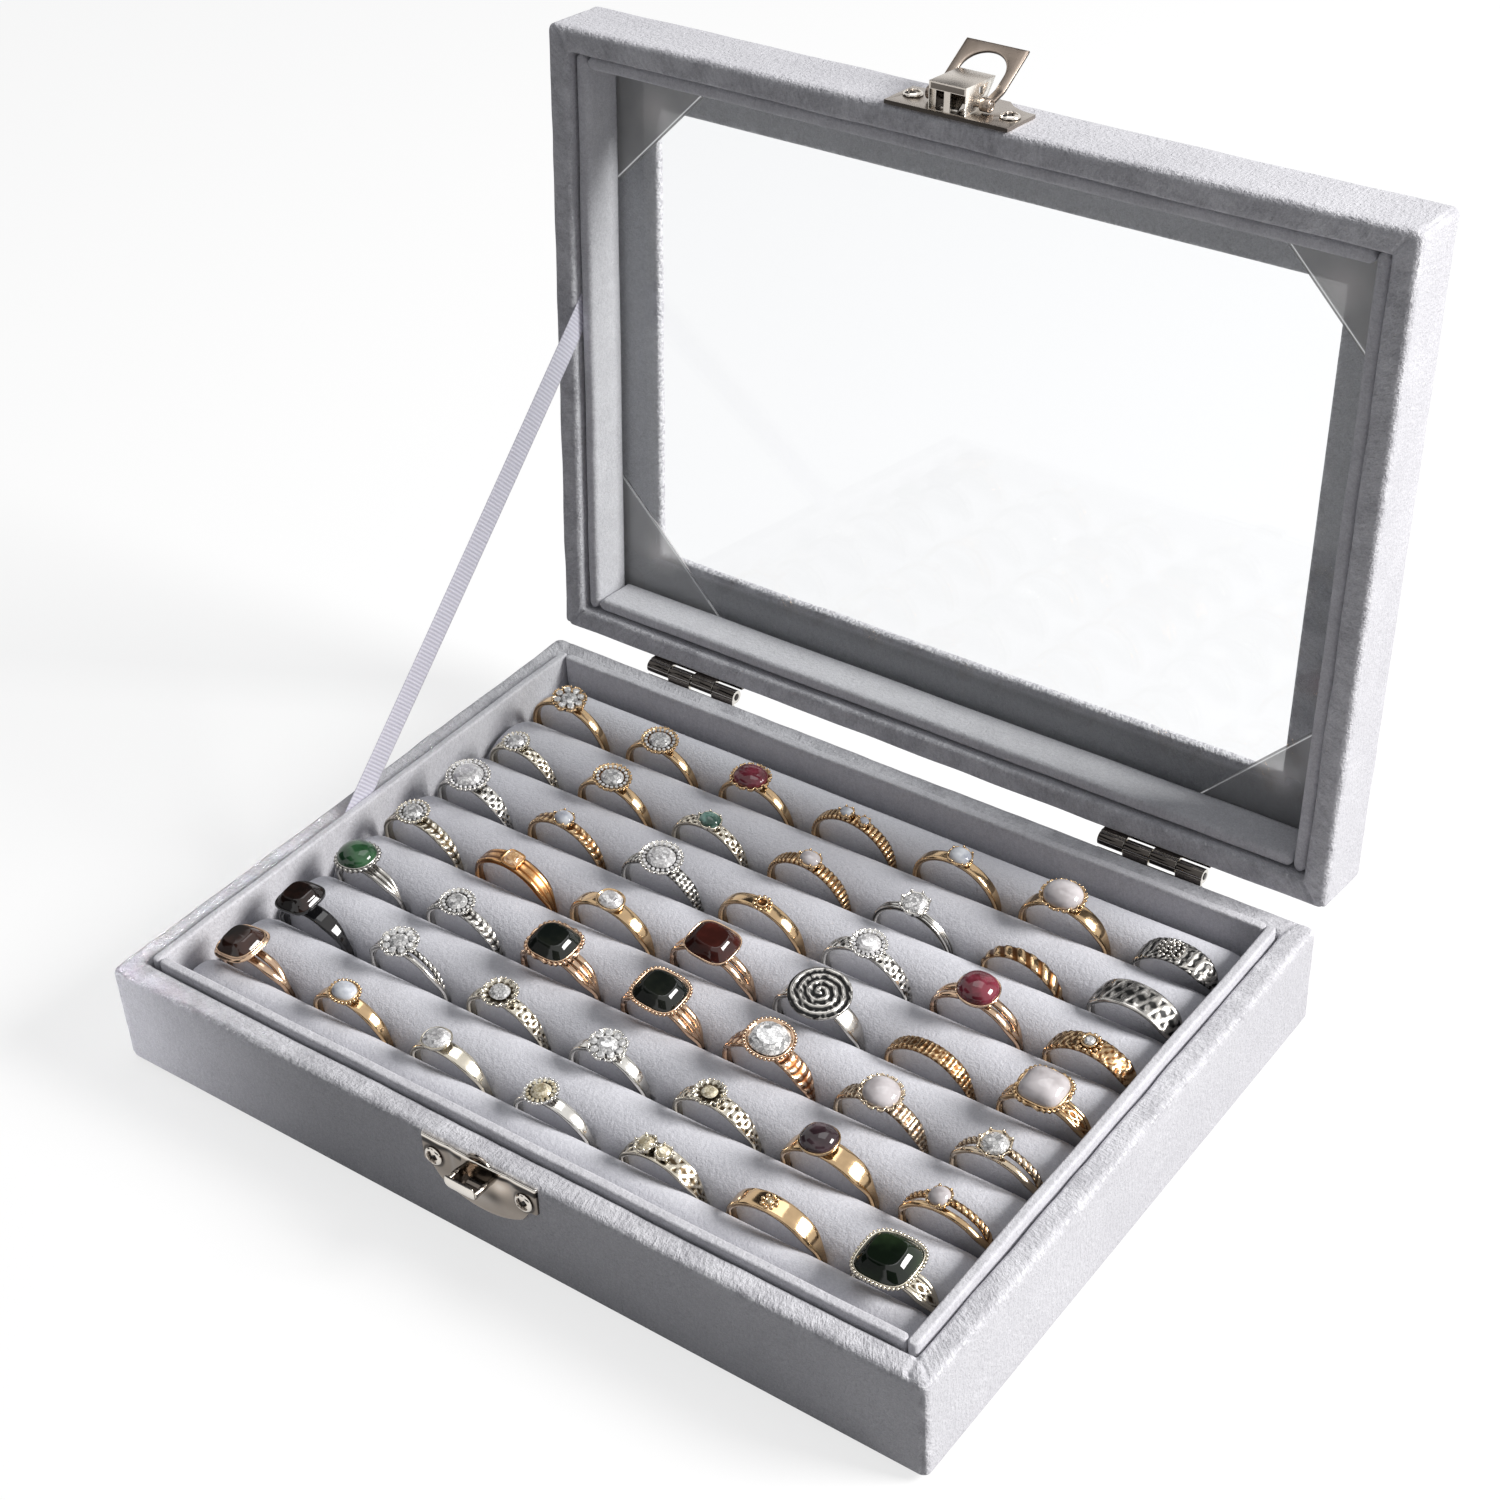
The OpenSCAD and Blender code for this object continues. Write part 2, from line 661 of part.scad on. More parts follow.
// The housing folded up from the plate: a front, two cheeks and a roof, open behind
module clasp_house() {
    inside = house_h - clasp_t;
    difference() {
        across(house_w) polygon([[0, house_up], [house_h, house_up],
            [house_h - roof_fall, house_up + house_l], [clasp_t, house_foot], [0, house_foot]]);
        across(house_w - 2 * clasp_t) polygon([[-over, house_up + clasp_t],
            [inside, house_up + clasp_t], [inside - roof_fall, house_up + house_l + over],
            [-over, house_up + house_l + over]]);
        for (x = [-1, 1]) translate([x * house_w / 4, house_up, house_window[1]])
            cube([house_window[0], 3 * clasp_t, house_window[1]], center = true);
        translate([0, pivot_up + cheek_hole_at[0], pivot_out + cheek_hole_at[1]])
            cube([house_w + 2 * over, cheek_hole, cheek_hole], center = true);
    }
}

module clasp_plate() {
    color("#d6cfc8") on_lid_front() difference() {
        union() {
            linear_extrude(clasp_t) clasp_outline();
            clasp_house();
        }
        translate([0, pivot_up, pivot_out]) rotate([0, 90, 0])
            cylinder(r = pin_r + pin_gap, h = house_w + 2 * over, center = true);
        for (x = [-1, 1]) translate([x * screw_span / 2, clasp_screw_up, 0]) screw_bore();
    }
}

// A leaf spring bent to a V: one leg lies on the plate, the other presses over the pin
module clasp_spring() {
    low = house_up + clasp_t + bite;
    high = pivot_up - pin_r - spring_clear;
    near = clasp_t + spring_t;
    far = house_h - clasp_t - roof_fall - spring_clear;
    tip = pivot_up + spring_tip;
    color("#b9b2ac") on_lid_front() across(house_w - 2 * (clasp_t + spring_side)) polygon([
        [clasp_t, low], [clasp_t, high], [near, high], [near, low + spring_t],
        [far - spring_t, tip], [far, tip - spring_t / 2], [near + spring_t / 2, low]]);
}

module clasp_pin() {
    color("#c8c1ba") at_pivot() rotate([0, 90, 0])
        cylinder(r = pin_r, h = flap_w, center = true);
}

module clasp_screws() {
    color("#ddd8d4") on_lid_front() for (x = [-1, 1])
        translate([x * screw_span / 2, clasp_screw_up, clasp_t])
            wood_screw(head_r, head_h, clasp_t);
}

// The flap seen from the side when latched: the leg slants out, then the flap hangs straight
module flap_side() {
    bend = [leg_l * sin(flap_bend), -leg_l * cos(flap_bend)];
    rotate(flap_bend) translate([-clasp_t / 2, -leg_l]) square([clasp_t, leg_l]);
    translate(bend) circle(clasp_t / 2);
    translate(bend - [clasp_t / 2, flap_l]) square([clasp_t, flap_l]);
}

module clasp_flap() {
    end_y = -leg_l * cos(flap_bend) - flap_l;
    arch_l = -end_y - bar_w + 2 * foot_r;
    tube_l = (flap_w - arch_w) / 2;
    color("#cdc6bf") at_pivot() rotate([-flap_swing, 0, 0]) difference() {
        union() {
            across(flap_w) flap_side();
            for (x = [-1, 1]) translate([x * (flap_w - tube_l) / 2, 0, 0]) rotate([0, 90, 0])
                cylinder(r = foot_r, h = tube_l, center = true);
        }
        translate([0, end_y + bar_w + arch_l / 2, 0])
            linear_extrude(4 * leg_l, center = true) round_rect(arch_w, arch_l, arch_r);
        translate([-arch_w / 2, -foot_r, -foot_r - over])
            cube([arch_w, 2 * foot_r + over, 2 * (foot_r + over)]);
        rotate([0, 90, 0]) cylinder(r = pin_r + pin_gap, h = flap_w + 2 * over, center = true);
    }
}

// Ribbon stay, behind the left liners of base and lid

module lid_ribbon() {
    // A straight ribbon between two points at the same reach on the two rims
    free_l = 2 * ribbon_reach * sin(open_angle / 2);
    slope = (180 - open_angle) / 2;
    color("#d9d6e2") translate([-(in_l - liner_gap) / 2, hinge_y - ribbon_reach, hinge_z])
        rotate([slope, 0, 0]) translate([-ribbon_t / 2, -ribbon_tail, -ribbon_w / 2])
            cube([ribbon_t, free_l + 2 * ribbon_tail, ribbon_w]);
}

// Rings

module at_ring(k) {
    translate([column_x(k % columns), row_y(floor(k / columns)), ring_z]) children();
}

// Section of a shank: flat inside, domed outside
module shank_section(w) {
    intersection() {
        translate([0, -w / 2]) square([shank_t, w]);
        translate([shank_t - w, 0]) circle(w, $fn = 64);
    }
}

// A shank is as wide as asked at the top and narrows to fit its slot
module shank(w) {
    reach = ring_r + over;
    narrow_to = crest_z - shoulder_r - ring_z + shank_clear;
    wide_from = narrow_to + shank_flare;
    intersection() {
        rotate([90, 0, 0]) rotate_extrude($fn = 96)
            translate([ring_r - shank_t, 0]) shank_section(max(w, shank_w));
        rotate([90, 0, 90]) linear_extrude(2 * reach, center = true) polygon([
            [-shank_w / 2, -reach], [shank_w / 2, -reach], [shank_w / 2, narrow_to],
            [max(w, shank_w) / 2, wide_from], [max(w, shank_w) / 2, reach],
            [-max(w, shank_w) / 2, reach], [-max(w, shank_w) / 2, wide_from],
            [-shank_w / 2, narrow_to]]);
    }
}

// Outline of a head or of its stone, drawn in by a margin
module head_outline(ring, margin) {
    l = head_l(ring) - 2 * margin;
    w = head_w(ring) - 2 * margin;
    if (ring_head(ring) == "cushion") round_rect(l, w, cushion_share * min(l, w));
    else circle(l / 2);
}

module ring_metal(ring) {
    finger_r = ring_r - shank_t;
    top = ring_r + head_up(ring);
    difference() {
        union() {
            shank(ring_width(ring));
            if (head_l(ring) > 0) translate([0, 0, ring_r - head_sink])
                linear_extrude(head_sink + head_up(ring)) head_outline(ring, 0);
            if (ring_head(ring) == "disc") translate([0, 0, top - over])
                linear_extrude(over + boss_h) difference() {
                    circle(head_l(ring) / 3);
                    circle(head_l(ring) / 5);
                }
        }
        rotate([90, 0, 0]) cylinder(r = finger_r, h = 4 * ring_r, center = true);
        if (head_l(ring) > 0 && ring_head(ring) != "disc") translate([0, 0, top - seat_d])
            linear_extrude(seat_d + over) head_outline(ring, setting_t);
    }
}

// A stone in its seat: a cut stone has a sloping crown and a flat table, others are domed
module ring_stone(ring) {
    side = setting_t + stone_gap;
    l = head_l(ring) - 2 * side;
    w = head_w(ring) - 2 * side;
    rise = rise_share * min(l, w);
    dome_a = 0.5 * sqrt(l * l + w * w);
    dome_r = (dome_a * dome_a + rise * rise) / (2 * rise);
    translate([0, 0, ring_r + head_up(ring) - seat_d]) {
        if (ring[6] == "clear" && ring_head(ring) == "round") {
            cylinder(r = l / 2, h = seat_d);
            translate([0, 0, seat_d]) cylinder(r1 = l / 2, r2 = table_share * l, h = rise);
        } else intersection() {
            linear_extrude(seat_d + 2 * rise) head_outline(ring, side);
            translate([0, 0, seat_d + rise - dome_r]) sphere(dome_r, $fn = 64);
        }
    }
}

module rings_of(metal) {
    for (k = [0 : rows * columns - 1])
        if (RINGS[k][0] == metal) at_ring(k) ring_metal(RINGS[k]);
}

module stones_of(kind) {
    for (k = [0 : rows * columns - 1])
        if (RINGS[k][6] == kind) at_ring(k) ring_stone(RINGS[k]);
}

module gold_rings() { color("#d9b06a") rings_of("gold"); }

module rose_gold_rings() { color("#cf9478") rings_of("rose_gold"); }

module silver_rings() { color("#cfcfd0") rings_of("silver"); }

module oxidised_rings() { color("#7f7d7c") rings_of("oxidised"); }

module enamel_ring() { color("#1d1b1c") rings_of("enamel"); }

module clear_stones() { color("#eef2f4") stones_of("clear"); }

module moonstones() { color("#e9dfdc") stones_of("moon"); }

module dark_stones() { color("#241a19") stones_of("dark"); }

module red_stones() { color("#6d1220") stones_of("red"); }

module green_stones() { color("#1f4d33") stones_of("green"); }

module amber_stones() { color("#c98a3a") stones_of("amber"); }

base_shell();
bottom_sheet();
base_liner_front();
base_liner_back();
base_liner_left();
base_liner_right();
pad_board();
ring_roll_1();
ring_roll_2();
ring_roll_3();
ring_roll_4();
ring_roll_5();
ring_roll_6();
ring_roll_7();
ring_roll_8();
catch_plate();
catch_screws();
hinge_base_leaves();
hinge_pins();
hinge_base_screws();
lid_ribbon();
lid_frame();
window_glass();
window_corner_patches();
lid_liner_front();
lid_liner_back();
lid_liner_left();
lid_liner_right();
hinge_lid_leaves();
hinge_lid_screws();
clasp_plate();
clasp_spring();
clasp_pin();
clasp_screws();
clasp_flap();
gold_rings();
rose_gold_rings();
silver_rings();
oxidised_rings();
enamel_ring();
clear_stones();
moonstones();
dark_stones();
red_stones();
green_stones();
amber_stones();
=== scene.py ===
import math

import bmesh
import bpy
import numpy as np
from mathutils import Matrix, Vector


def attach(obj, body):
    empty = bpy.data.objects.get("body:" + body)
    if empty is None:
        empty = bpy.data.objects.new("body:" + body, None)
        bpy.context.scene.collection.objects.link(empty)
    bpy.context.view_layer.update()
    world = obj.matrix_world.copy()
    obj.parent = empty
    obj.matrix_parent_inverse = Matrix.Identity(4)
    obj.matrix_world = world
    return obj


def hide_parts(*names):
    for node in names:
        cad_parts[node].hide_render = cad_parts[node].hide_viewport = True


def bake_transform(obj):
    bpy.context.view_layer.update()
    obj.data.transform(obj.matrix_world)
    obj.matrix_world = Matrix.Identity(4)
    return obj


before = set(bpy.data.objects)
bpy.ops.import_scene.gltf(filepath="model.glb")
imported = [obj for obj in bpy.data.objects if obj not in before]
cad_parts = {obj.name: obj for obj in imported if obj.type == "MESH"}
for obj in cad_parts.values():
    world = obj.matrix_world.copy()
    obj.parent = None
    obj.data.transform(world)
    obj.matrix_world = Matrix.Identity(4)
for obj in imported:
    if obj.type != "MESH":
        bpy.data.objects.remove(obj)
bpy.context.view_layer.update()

# The camera stands in front of the box, to the right and above, where the photograph was taken.
# Its three axes and its place were fitted to the corners of base and lid.
right = np.array([0.80810324, 0.58754173, -0.04199853])
down = np.array([0.3179578, -0.49511532, -0.80855653])
ahead = np.array([-0.49585481, 0.64004339, -0.58691776])


def placed(name, data):
    """A new object that holds this data, linked to the scene."""
    made = bpy.data.objects.new(name, data)
    bpy.context.scene.collection.objects.link(made)
    return made


camera = placed("camera", bpy.data.cameras.new("camera"))
camera.data.lens = 65.48
camera.data.sensor_width = 36
camera.data.clip_start, camera.data.clip_end = 0.01, 20
pose = np.eye(4)
pose[:3, :3] = np.stack([right, -down, -ahead], axis=1)
pose[:3, 3] = 0.270858, -0.333094, 0.385665
camera.matrix_world = Matrix(pose.tolist())
bpy.context.scene.camera = camera


# The studio: a pale floor that runs out of sight, a white room round it, a broad lamp high on
# the right behind the box, a soft one overhead, and dark cards that only metal and stones show.
class Shade:
    """A node socket that takes part in Python expressions: an operator on it adds a Math node,
    and node() adds any other node."""

    def __init__(self, tree, socket=None):
        self.tree, self.socket = tree, socket

    def node(self, kind, settings=None, values=None, out=0):
        """Adds a node of this kind, makes its settings, and then fills or links its sockets."""
        made = self.tree.nodes.new("ShaderNode" + kind)
        for name, value in (settings or {}).items():
            if name == "stops":
                ramp = made.color_ramp
                while len(ramp.elements) < len(value):
                    ramp.elements.new(0.5)
                for stop, (place, colour) in zip(ramp.elements, value):
                    stop.position, stop.color = place, (*colour, 1)
            else:
                setattr(made, name, value)
        for name, value in (values or {}).items():
            self.put(made.inputs[name], value)
        return Shade(self.tree, made.outputs[out])

    def put(self, socket, value):
        if isinstance(value, Shade):
            self.tree.links.new(value.socket, socket)
        else:
            socket.default_value = value

    def ends_in(self, kind):
        """Links this shader to a new output node's surface."""
        self.put(self.tree.nodes.new("ShaderNode" + kind).inputs["Surface"], self)

    def noise(self, place, scale, detail, roughness=0.5):
        """Fractal noise, from 0 to 1."""
        values = {"Vector": place, "Scale": scale, "Detail": detail, "Roughness": roughness}
        return self.node("TexNoise", values=values)

    def bump(self, shader, strength, distance, height):
        """Feeds the shader's Normal from a height. The distance is in metres."""
        values = {"Strength": strength, "Distance": distance, "Height": height}
        self.put(shader.inputs["Normal"], self.node("Bump", values=values))

    def math(self, operation, *values, clamp=False):
        settings = {"operation": operation, "use_clamp": clamp}
        return self.node("Math", settings, dict(enumerate(values)))

    def mix(self, factor, a, b):
        """The colour a where the factor is 0 and b where it is 1."""
        a, b = (x if isinstance(x, Shade) else (*x, 1) for x in (a, b))
        return self.node("Mix", {"data_type": "RGBA"}, {0: factor, 6: a, 7: b}, 2)

    def step(self, low, high):
        """0 below low, 1 above high, and smooth between."""
        settings = {"interpolation_type": "SMOOTHSTEP"}
        return self.node("MapRange", settings, {"Value": self, 1: low, 2: high})

    def __add__(self, other):
        return self.math("ADD", self, other)

    def __sub__(self, other):
        return self.math("SUBTRACT", self, other)

    def __rsub__(self, other):
        return self.math("SUBTRACT", other, self)

    def __mul__(self, other):
        return self.math("MULTIPLY", self, other)

    __radd__, __rmul__ = __add__, __mul__


def emptied(block):
    """A world or material without its nodes, and a Shade to build on."""
    block.use_nodes = True
    block.node_tree.nodes.clear()
    return block, Shade(block.node_tree)


def looked_at(s):
    """1 for rays from the camera, from a gloss or through glass, and 0 for all others."""
    kinds = ("Camera", "Glossy", "Transmission")
    sight, gloss, glass = (s.node("LightPath", out=f"Is {kind} Ray") for kind in kinds)
    return s.math("MAXIMUM", s.math("MAXIMUM", sight, glass), gloss)


bpy.context.scene.world, s = emptied(bpy.data.worlds.new("studio"))
room = s.node("Background", values={"Color": (1, 1, 1, 1), "Strength": 1.0})
fill = s.node("Background", values={"Color": (0.94, 0.96, 1, 1), "Strength": 0.2})
s.node("MixShader", values={0: looked_at(s), 1: fill, 2: room}).ends_in("OutputWorld")

floor_mesh = bpy.data.meshes.new("floor")
floor_half, below_box = 6.0, 0.0002
corner_signs = ((-1, -1), (1, -1), (1, 1), (-1, 1))
floor_mesh.from_pydata([(x * floor_half, y * floor_half, 0) for x, y in corner_signs], [], [(0, 1, 2, 3)])
floor = placed("floor", floor_mesh)
floor.location.z = -below_box
paper, s = emptied(bpy.data.materials.new("floor_paper"))
matt = s.node("BsdfDiffuse", values={"Color": (0.42, 0.42, 0.42, 1)})
pale = s.node("BsdfDiffuse", values={"Color": (0.26, 0.26, 0.26, 1)})
glow = s.node("Emission", values={"Color": (1, 1, 1, 1), "Strength": 0.76})
lit = s.node("AddShader", values={0: pale, 1: glow})
s.node("MixShader", values={0: looked_at(s), 1: matt, 2: lit}).ends_in("OutputMaterial")
floor_mesh.materials.append(paper)


def lamp(name, place, target, width, height, watts, colour, spread=180):
    """A rectangular area lamp at a place, turned to a target, both in metres. The spread in
    degrees is the width of its beam."""
    data = bpy.data.lights.new(name, "AREA")
    data.shape, data.size, data.size_y = "RECTANGLE", width, height
    data.energy, data.color, data.spread = watts, colour, math.radians(spread)
    made = placed(name, data)
    away = Vector(place) - Vector(target)
    made.matrix_world = Matrix.Translation(place) @ away.to_track_quat("Z", "Y").to_matrix().to_4x4()
    return made


lamp("key", (1.17, 0.5, 0.84), (0, 0, 0.05), 0.55, 0.55, 32.0, (1.0, 0.99, 0.975))
lamp("overhead", (-0.1, 0.35, 1.3), (0, 0, 0), 0.7, 0.7, 3.0, (0.98, 0.99, 1.0))
front_left_corner = (-0.122, -0.073, 0.018)
left_fill = lamp("left_fill", (-0.5, -0.8, 0.28), front_left_corner, 0.05, 0.05, 0.017, (0.97, 0.97, 1.0), 7)

flag_paper, s = emptied(bpy.data.materials.new("flag_paper"))
s.node("Emission", values={"Color": (0.05, 0.05, 0.055, 1), "Strength": 1.0}).ends_in("OutputMaterial")
for name, place, width, height in (
    ("flag_front", (0.42, -0.85, 0.42), 1.0, 0.5),
    ("flag_left", (-0.95, -0.35, 0.25), 0.7, 0.5),
    ("flag_high", (-0.55, -0.65, 0.74), 0.6, 0.4),
    ("flag_top", (-0.6, 0.56, 0.9), 0.85, 0.75),
):
    mesh = bpy.data.meshes.new(name)
    turn = (Vector(place) - Vector((0, 0, 0.03))).to_track_quat("Z", "Y").to_matrix().to_4x4()
    turn = Matrix.Translation(place) @ turn
    corners = [turn @ Vector((x * width / 2, y * height / 2, 0)) for x, y in corner_signs]
    mesh.from_pydata(corners, [], [(0, 1, 2, 3)])
    mesh.materials.append(flag_paper)
    flag = placed(name, mesh)
    flag.visible_camera = flag.visible_diffuse = flag.visible_shadow = False
    flag.visible_transmission = name == "flag_top"


# The base: a board box wrapped in short-pile velvet over a thin padding. The velvet turns over
# the rim and down inside, is folded at the corners, and is glued under the floor board.
def grid_quads(rows, columns, close_rows=False, close_columns=False):
    """Corner numbers of the quads between neighbouring points of a grid, and the two grid
    steps at each corner, which run past the last row or column where the grid is closed."""
    i, j = np.meshgrid(
        np.arange(rows if close_rows else rows - 1),
        np.arange(columns if close_columns else columns - 1),
        indexing="ij",
    )
    steps = np.stack([np.stack([i + a, j + b], -1) for a, b in ((0, 0), (1, 0), (1, 1), (0, 1))], 2)
    steps = steps.reshape(-1, 4, 2)
    return steps[..., 0] % rows * columns + steps[..., 1] % columns, steps


class Cloth:
    """Collects grids of points into one mesh. Each grid brings its own two lengths in metres
    along and across, which become the mesh's UV map."""

    def __init__(self):
        self.points, self.quads, self.uvs, self.depths, self.base = [], [], [], [], 0

    def add(
        self, points, close_rows=False, close_columns=False,
        along=None, across=None, flip=False, depth=None, solid=False,
    ):
        """Adds one grid, or several of one size. Depth is a value at each point, mostly from 0 to 1,
        that the material turns into tone and gloss: wear, and in many pieces painted light and
        shade. A solid grid is turned right side out by its volume."""
        rows, columns = points.shape[-3:-1]
        quads, steps = grid_quads(rows, columns, close_rows, close_columns)
        along = np.arange(rows + 1) * 1e-3 if along is None else along
        across = np.arange(columns + 1) * 1e-3 if across is None else across
        uv = np.stack([along[steps[..., 0]], across[steps[..., 1]]], -1)
        if solid:
            one = points.reshape(-1, rows * columns, 3)[0]
            a, b, c, d = (one[quads[:, k]] - one.mean(0) for k in range(4))
            flip = (np.cross(b, c) * a + np.cross(c, d) * a).sum() < 0
        if flip:
            quads, uv = quads[:, ::-1], uv[:, ::-1]
        for one in points.reshape(-1, rows * columns, 3):
            self.points.append(one)
            self.quads.append(quads + self.base)
            self.uvs.append(uv)
            self.depths.append(np.ones(len(one)) if depth is None else depth.ravel())
            self.base += len(one)
        return self

    def piece(self, name, material, smooth=True, weld=False):
        """The finished mesh object. Points are in millimetres and the mesh in metres. Welding
        joins the points that meet at a closed end, and what is still open is then filled."""
        points = np.concatenate(self.points) * 1e-3
        quads = np.concatenate(self.quads)
        mesh = bpy.data.meshes.new(name)
        mesh.vertices.add(len(points))
        mesh.vertices.foreach_set("co", points.astype(np.float32).ravel())
        mesh.loops.add(quads.size)
        mesh.loops.foreach_set("vertex_index", quads.astype(np.int32).ravel())
        mesh.polygons.add(len(quads))
        mesh.polygons.foreach_set("loop_start", np.arange(0, quads.size, 4, dtype=np.int32))
        mesh.update(calc_edges=True)
        layer = mesh.uv_layers.new(name="UVMap")
        layer.data.foreach_set("uv", np.concatenate(self.uvs).astype(np.float32).ravel())
        depth = mesh.attributes.new("depth", "FLOAT", "POINT")
        depth.data.foreach_set("value", np.concatenate(self.depths).astype(np.float32))
        mesh.polygons.foreach_set("use_smooth", np.full(len(quads), smooth))
        mesh.materials.append(material)
        work = bmesh.new()
        work.from_mesh(mesh)
        if weld:
            bmesh.ops.remove_doubles(work, verts=work.verts, dist=2e-6)
            bmesh.ops.dissolve_degenerate(work, edges=work.edges, dist=1e-6)
        rims = [edge for edge in work.edges if edge.is_boundary]
        if rims:
            caps = bmesh.ops.holes_fill(work, edges=rims, sides=0)["faces"]
            for cap in caps:
                cap.smooth = False
            bmesh.ops.recalc_face_normals(work, faces=work.faces)
        work.to_mesh(mesh)
        work.free()
        return placed(name, mesh)


def dress(made, body, slot, *nodes):
    """The piece rides on a body and stands for these CAD nodes, which are hidden. The slot is not used."""
    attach(made, body)
    if nodes:
        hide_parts(*nodes)
    return made


def surface(name, **constants):
    """A new material: its Principled shader with these constants, and a Shade to build on."""
    material = bpy.data.materials.new(name)
    material.use_nodes = True
    shader = material.node_tree.nodes["Principled BSDF"]
    for socket, value in constants.items():
        value = (*value, 1) if isinstance(value, tuple) else value
        shader.inputs[socket.replace("_", " ")].default_value = value
    return material, shader, Shade(material.node_tree)


def velvet(name, dark, light, streak, nap=0.8, sheen=0.45):
    """Short-pile velvet: broad shades where the pile leans another way, tufts and fine hairs.
    The attribute depth is 0 on a smooth wall, 1 where the pile is rubbed into clouds and combed
    in streaks, and up to 2 along an edge, where pale hairs stand out in a ragged line: stray pile
    with a painted highlight. Below 0 it is painted shade, dark as deep in a fold."""
    material, shader, s = surface(
        name, Roughness=0.95, Specular_IOR_Level=0.2,
        Sheen_Weight=sheen, Sheen_Roughness=0.5, Sheen_Tint=(0.95, 0.95, 1.0),
    )
    place = s.node("TexCoord", out="Object")
    flat = s.node("TexCoord", out="UV")
    worn = s.node("Attribute", {"attribute_name": "depth"}, out="Fac")
    rubbed = s.math("ADD", worn, 0.0, clamp=True)
    edge_hairs_and_highlight = s.math("SUBTRACT", worn, 1.0, clamp=True)
    broad = s.noise(place, 26.0, 2.0)
    clouds = s.noise(place, 150.0, 4.0, 0.66)
    tufts = s.noise(place, 1150.0, 2.0, 0.6)
    hairs = s.noise(place, 3000.0, 2.0, 0.7)
    combed = s.node("Mapping", values={"Vector": flat, "Scale": (1500.0, 380.0, 1.0)})
    streaks = s.noise(combed, 1.0, 3.0, 0.65)
    tone = (broad - 0.5) * (0.5 * nap) + (clouds - 0.5) * (rubbed * (1.5 * nap) + 0.2)
    tone = tone + (tufts - 0.5) * 0.6 + (hairs - 0.5) * 1.1 + (streaks - 0.5) * (rubbed * streak)
    tone = s.math("ADD", tone, 0.5, clamp=True)
    # Painted highlight: above depth 1 the pile turns pale in a ragged line along an edge.
    ragged = (edge_hairs_and_highlight * 1.3 + (tufts - 0.5) * 1.3 + (streaks - 0.5) * 1.1).step(0.5, 0.85)
    # The pale colour is the painted edge highlight's, the darkened one the painted shade's for depth below 0.
    pale, fold_shade = tuple(0.4 + 0.62 * c for c in light), tuple(0.15 * c for c in dark)
    plain = s.mix(ragged, s.mix(tone, dark, light), pale)
    s.put(shader.inputs["Base Color"], s.mix(s.math("SUBTRACT", 0.0, worn, clamp=True), plain, fold_shade))
    height = tufts * 0.8 + hairs * 0.5 + streaks * (0.9 * streak) + edge_hairs_and_highlight * tufts
    s.bump(shader, 0.3 + 0.5 * nap, 0.0005, height)
    return material


box_velvet = velvet("box_velvet", (0.4, 0.395, 0.425), (0.77, 0.765, 0.8), 0.9, 1.0)

box_l, box_d, base_h, wall_t = 200.0, 146.0, 25.0, 5.5
sheet_t, floor_z, edge_r, rim_r = 0.8, 3.3, 1.6, 1.2


def side_steps(half, fine=14.0, near=0.4, far=1.5):
    """Places along a side from -half to half: close together near the corners."""
    ends = np.arange(-half, -half + fine, near)
    middle = np.linspace(-half + fine, half - fine, int((2 * half - 2 * fine) / far))
    return np.concatenate([ends, middle, -ends[::-1]])


def round_path(half_l, half_d, r, turns=7):
    """Points round a rectangle with rounded corners, counterclockwise from the front left. The
    half sizes and radii may be arrays, which give one path each; rows follow the path."""
    half_l, half_d, r = np.broadcast_arrays(*(np.atleast_1d(v).astype(float) for v in (half_l, half_d, r)))
    x, y = (side_steps(v) for v in (box_l / 2 - 2, box_d / 2 - 2))
    out = []
    for k, (share, half) in enumerate(((x, box_l / 2 - 2), (y, box_d / 2 - 2)) * 2):
        share = (share / half)[:, None]
        straight = (
            (share * (half_l - r), -half_d), (half_l, share * (half_d - r)),
            (-share * (half_l - r), half_d), (-half_l, -share * (half_d - r)),
        )[k]
        out.append(np.stack(np.broadcast_arrays(*straight), -1))
        angle = np.radians(np.linspace(0, 90, turns + 2)[1:-1] + 90 * k - 90)[:, None]
        corner = np.array([(1, -1), (1, 1), (-1, 1), (-1, -1)][k])
        out.append(np.stack([
            corner[0] * (half_l - r) + r * np.cos(angle),
            corner[1] * (half_d - r) + r * np.sin(angle),
        ], -1))
    return np.concatenate(out)


def outward(points):
    """Unit normals of a grid whose rows are closed, from the cross product of its steps."""
    along = np.roll(points, -1, 0) - np.roll(points, 1, 0)
    across = np.gradient(points, axis=1)
    n = np.cross(along, across)
    return n / np.maximum(np.linalg.norm(n, axis=-1, keepdims=True), 1e-9)


def ripple(points, pitch, seed):
    """A smooth random height from -1 to 1: the mean of eight plane waves of about this pitch."""
    rng = np.random.default_rng(seed)
    total = 0
    for _ in range(8):
        way = rng.normal(size=3)
        way *= 2 * np.pi / (pitch * rng.uniform(0.6, 1.6)) / np.linalg.norm(way)
        total = total + np.sin(points @ way + rng.uniform(0, 6.3))
    return total / 4


def bell(gap, width):
    """A bell curve: 1 where the gap is 0, and 1/e where it is the width."""
    return np.exp(-((gap / width) ** 2))


def crease(points, start, end, depth, width):
    """How far a crease from start to end sinks the points: a bell curve of their distance."""
    start, end = np.array(start, float), np.array(end, float)
    way = end - start
    share = np.clip((points - start) @ way / (way @ way), 0, 1)[..., None]
    gap = np.linalg.norm(points - start - share * way, axis=-1)
    return depth * bell(gap, width)


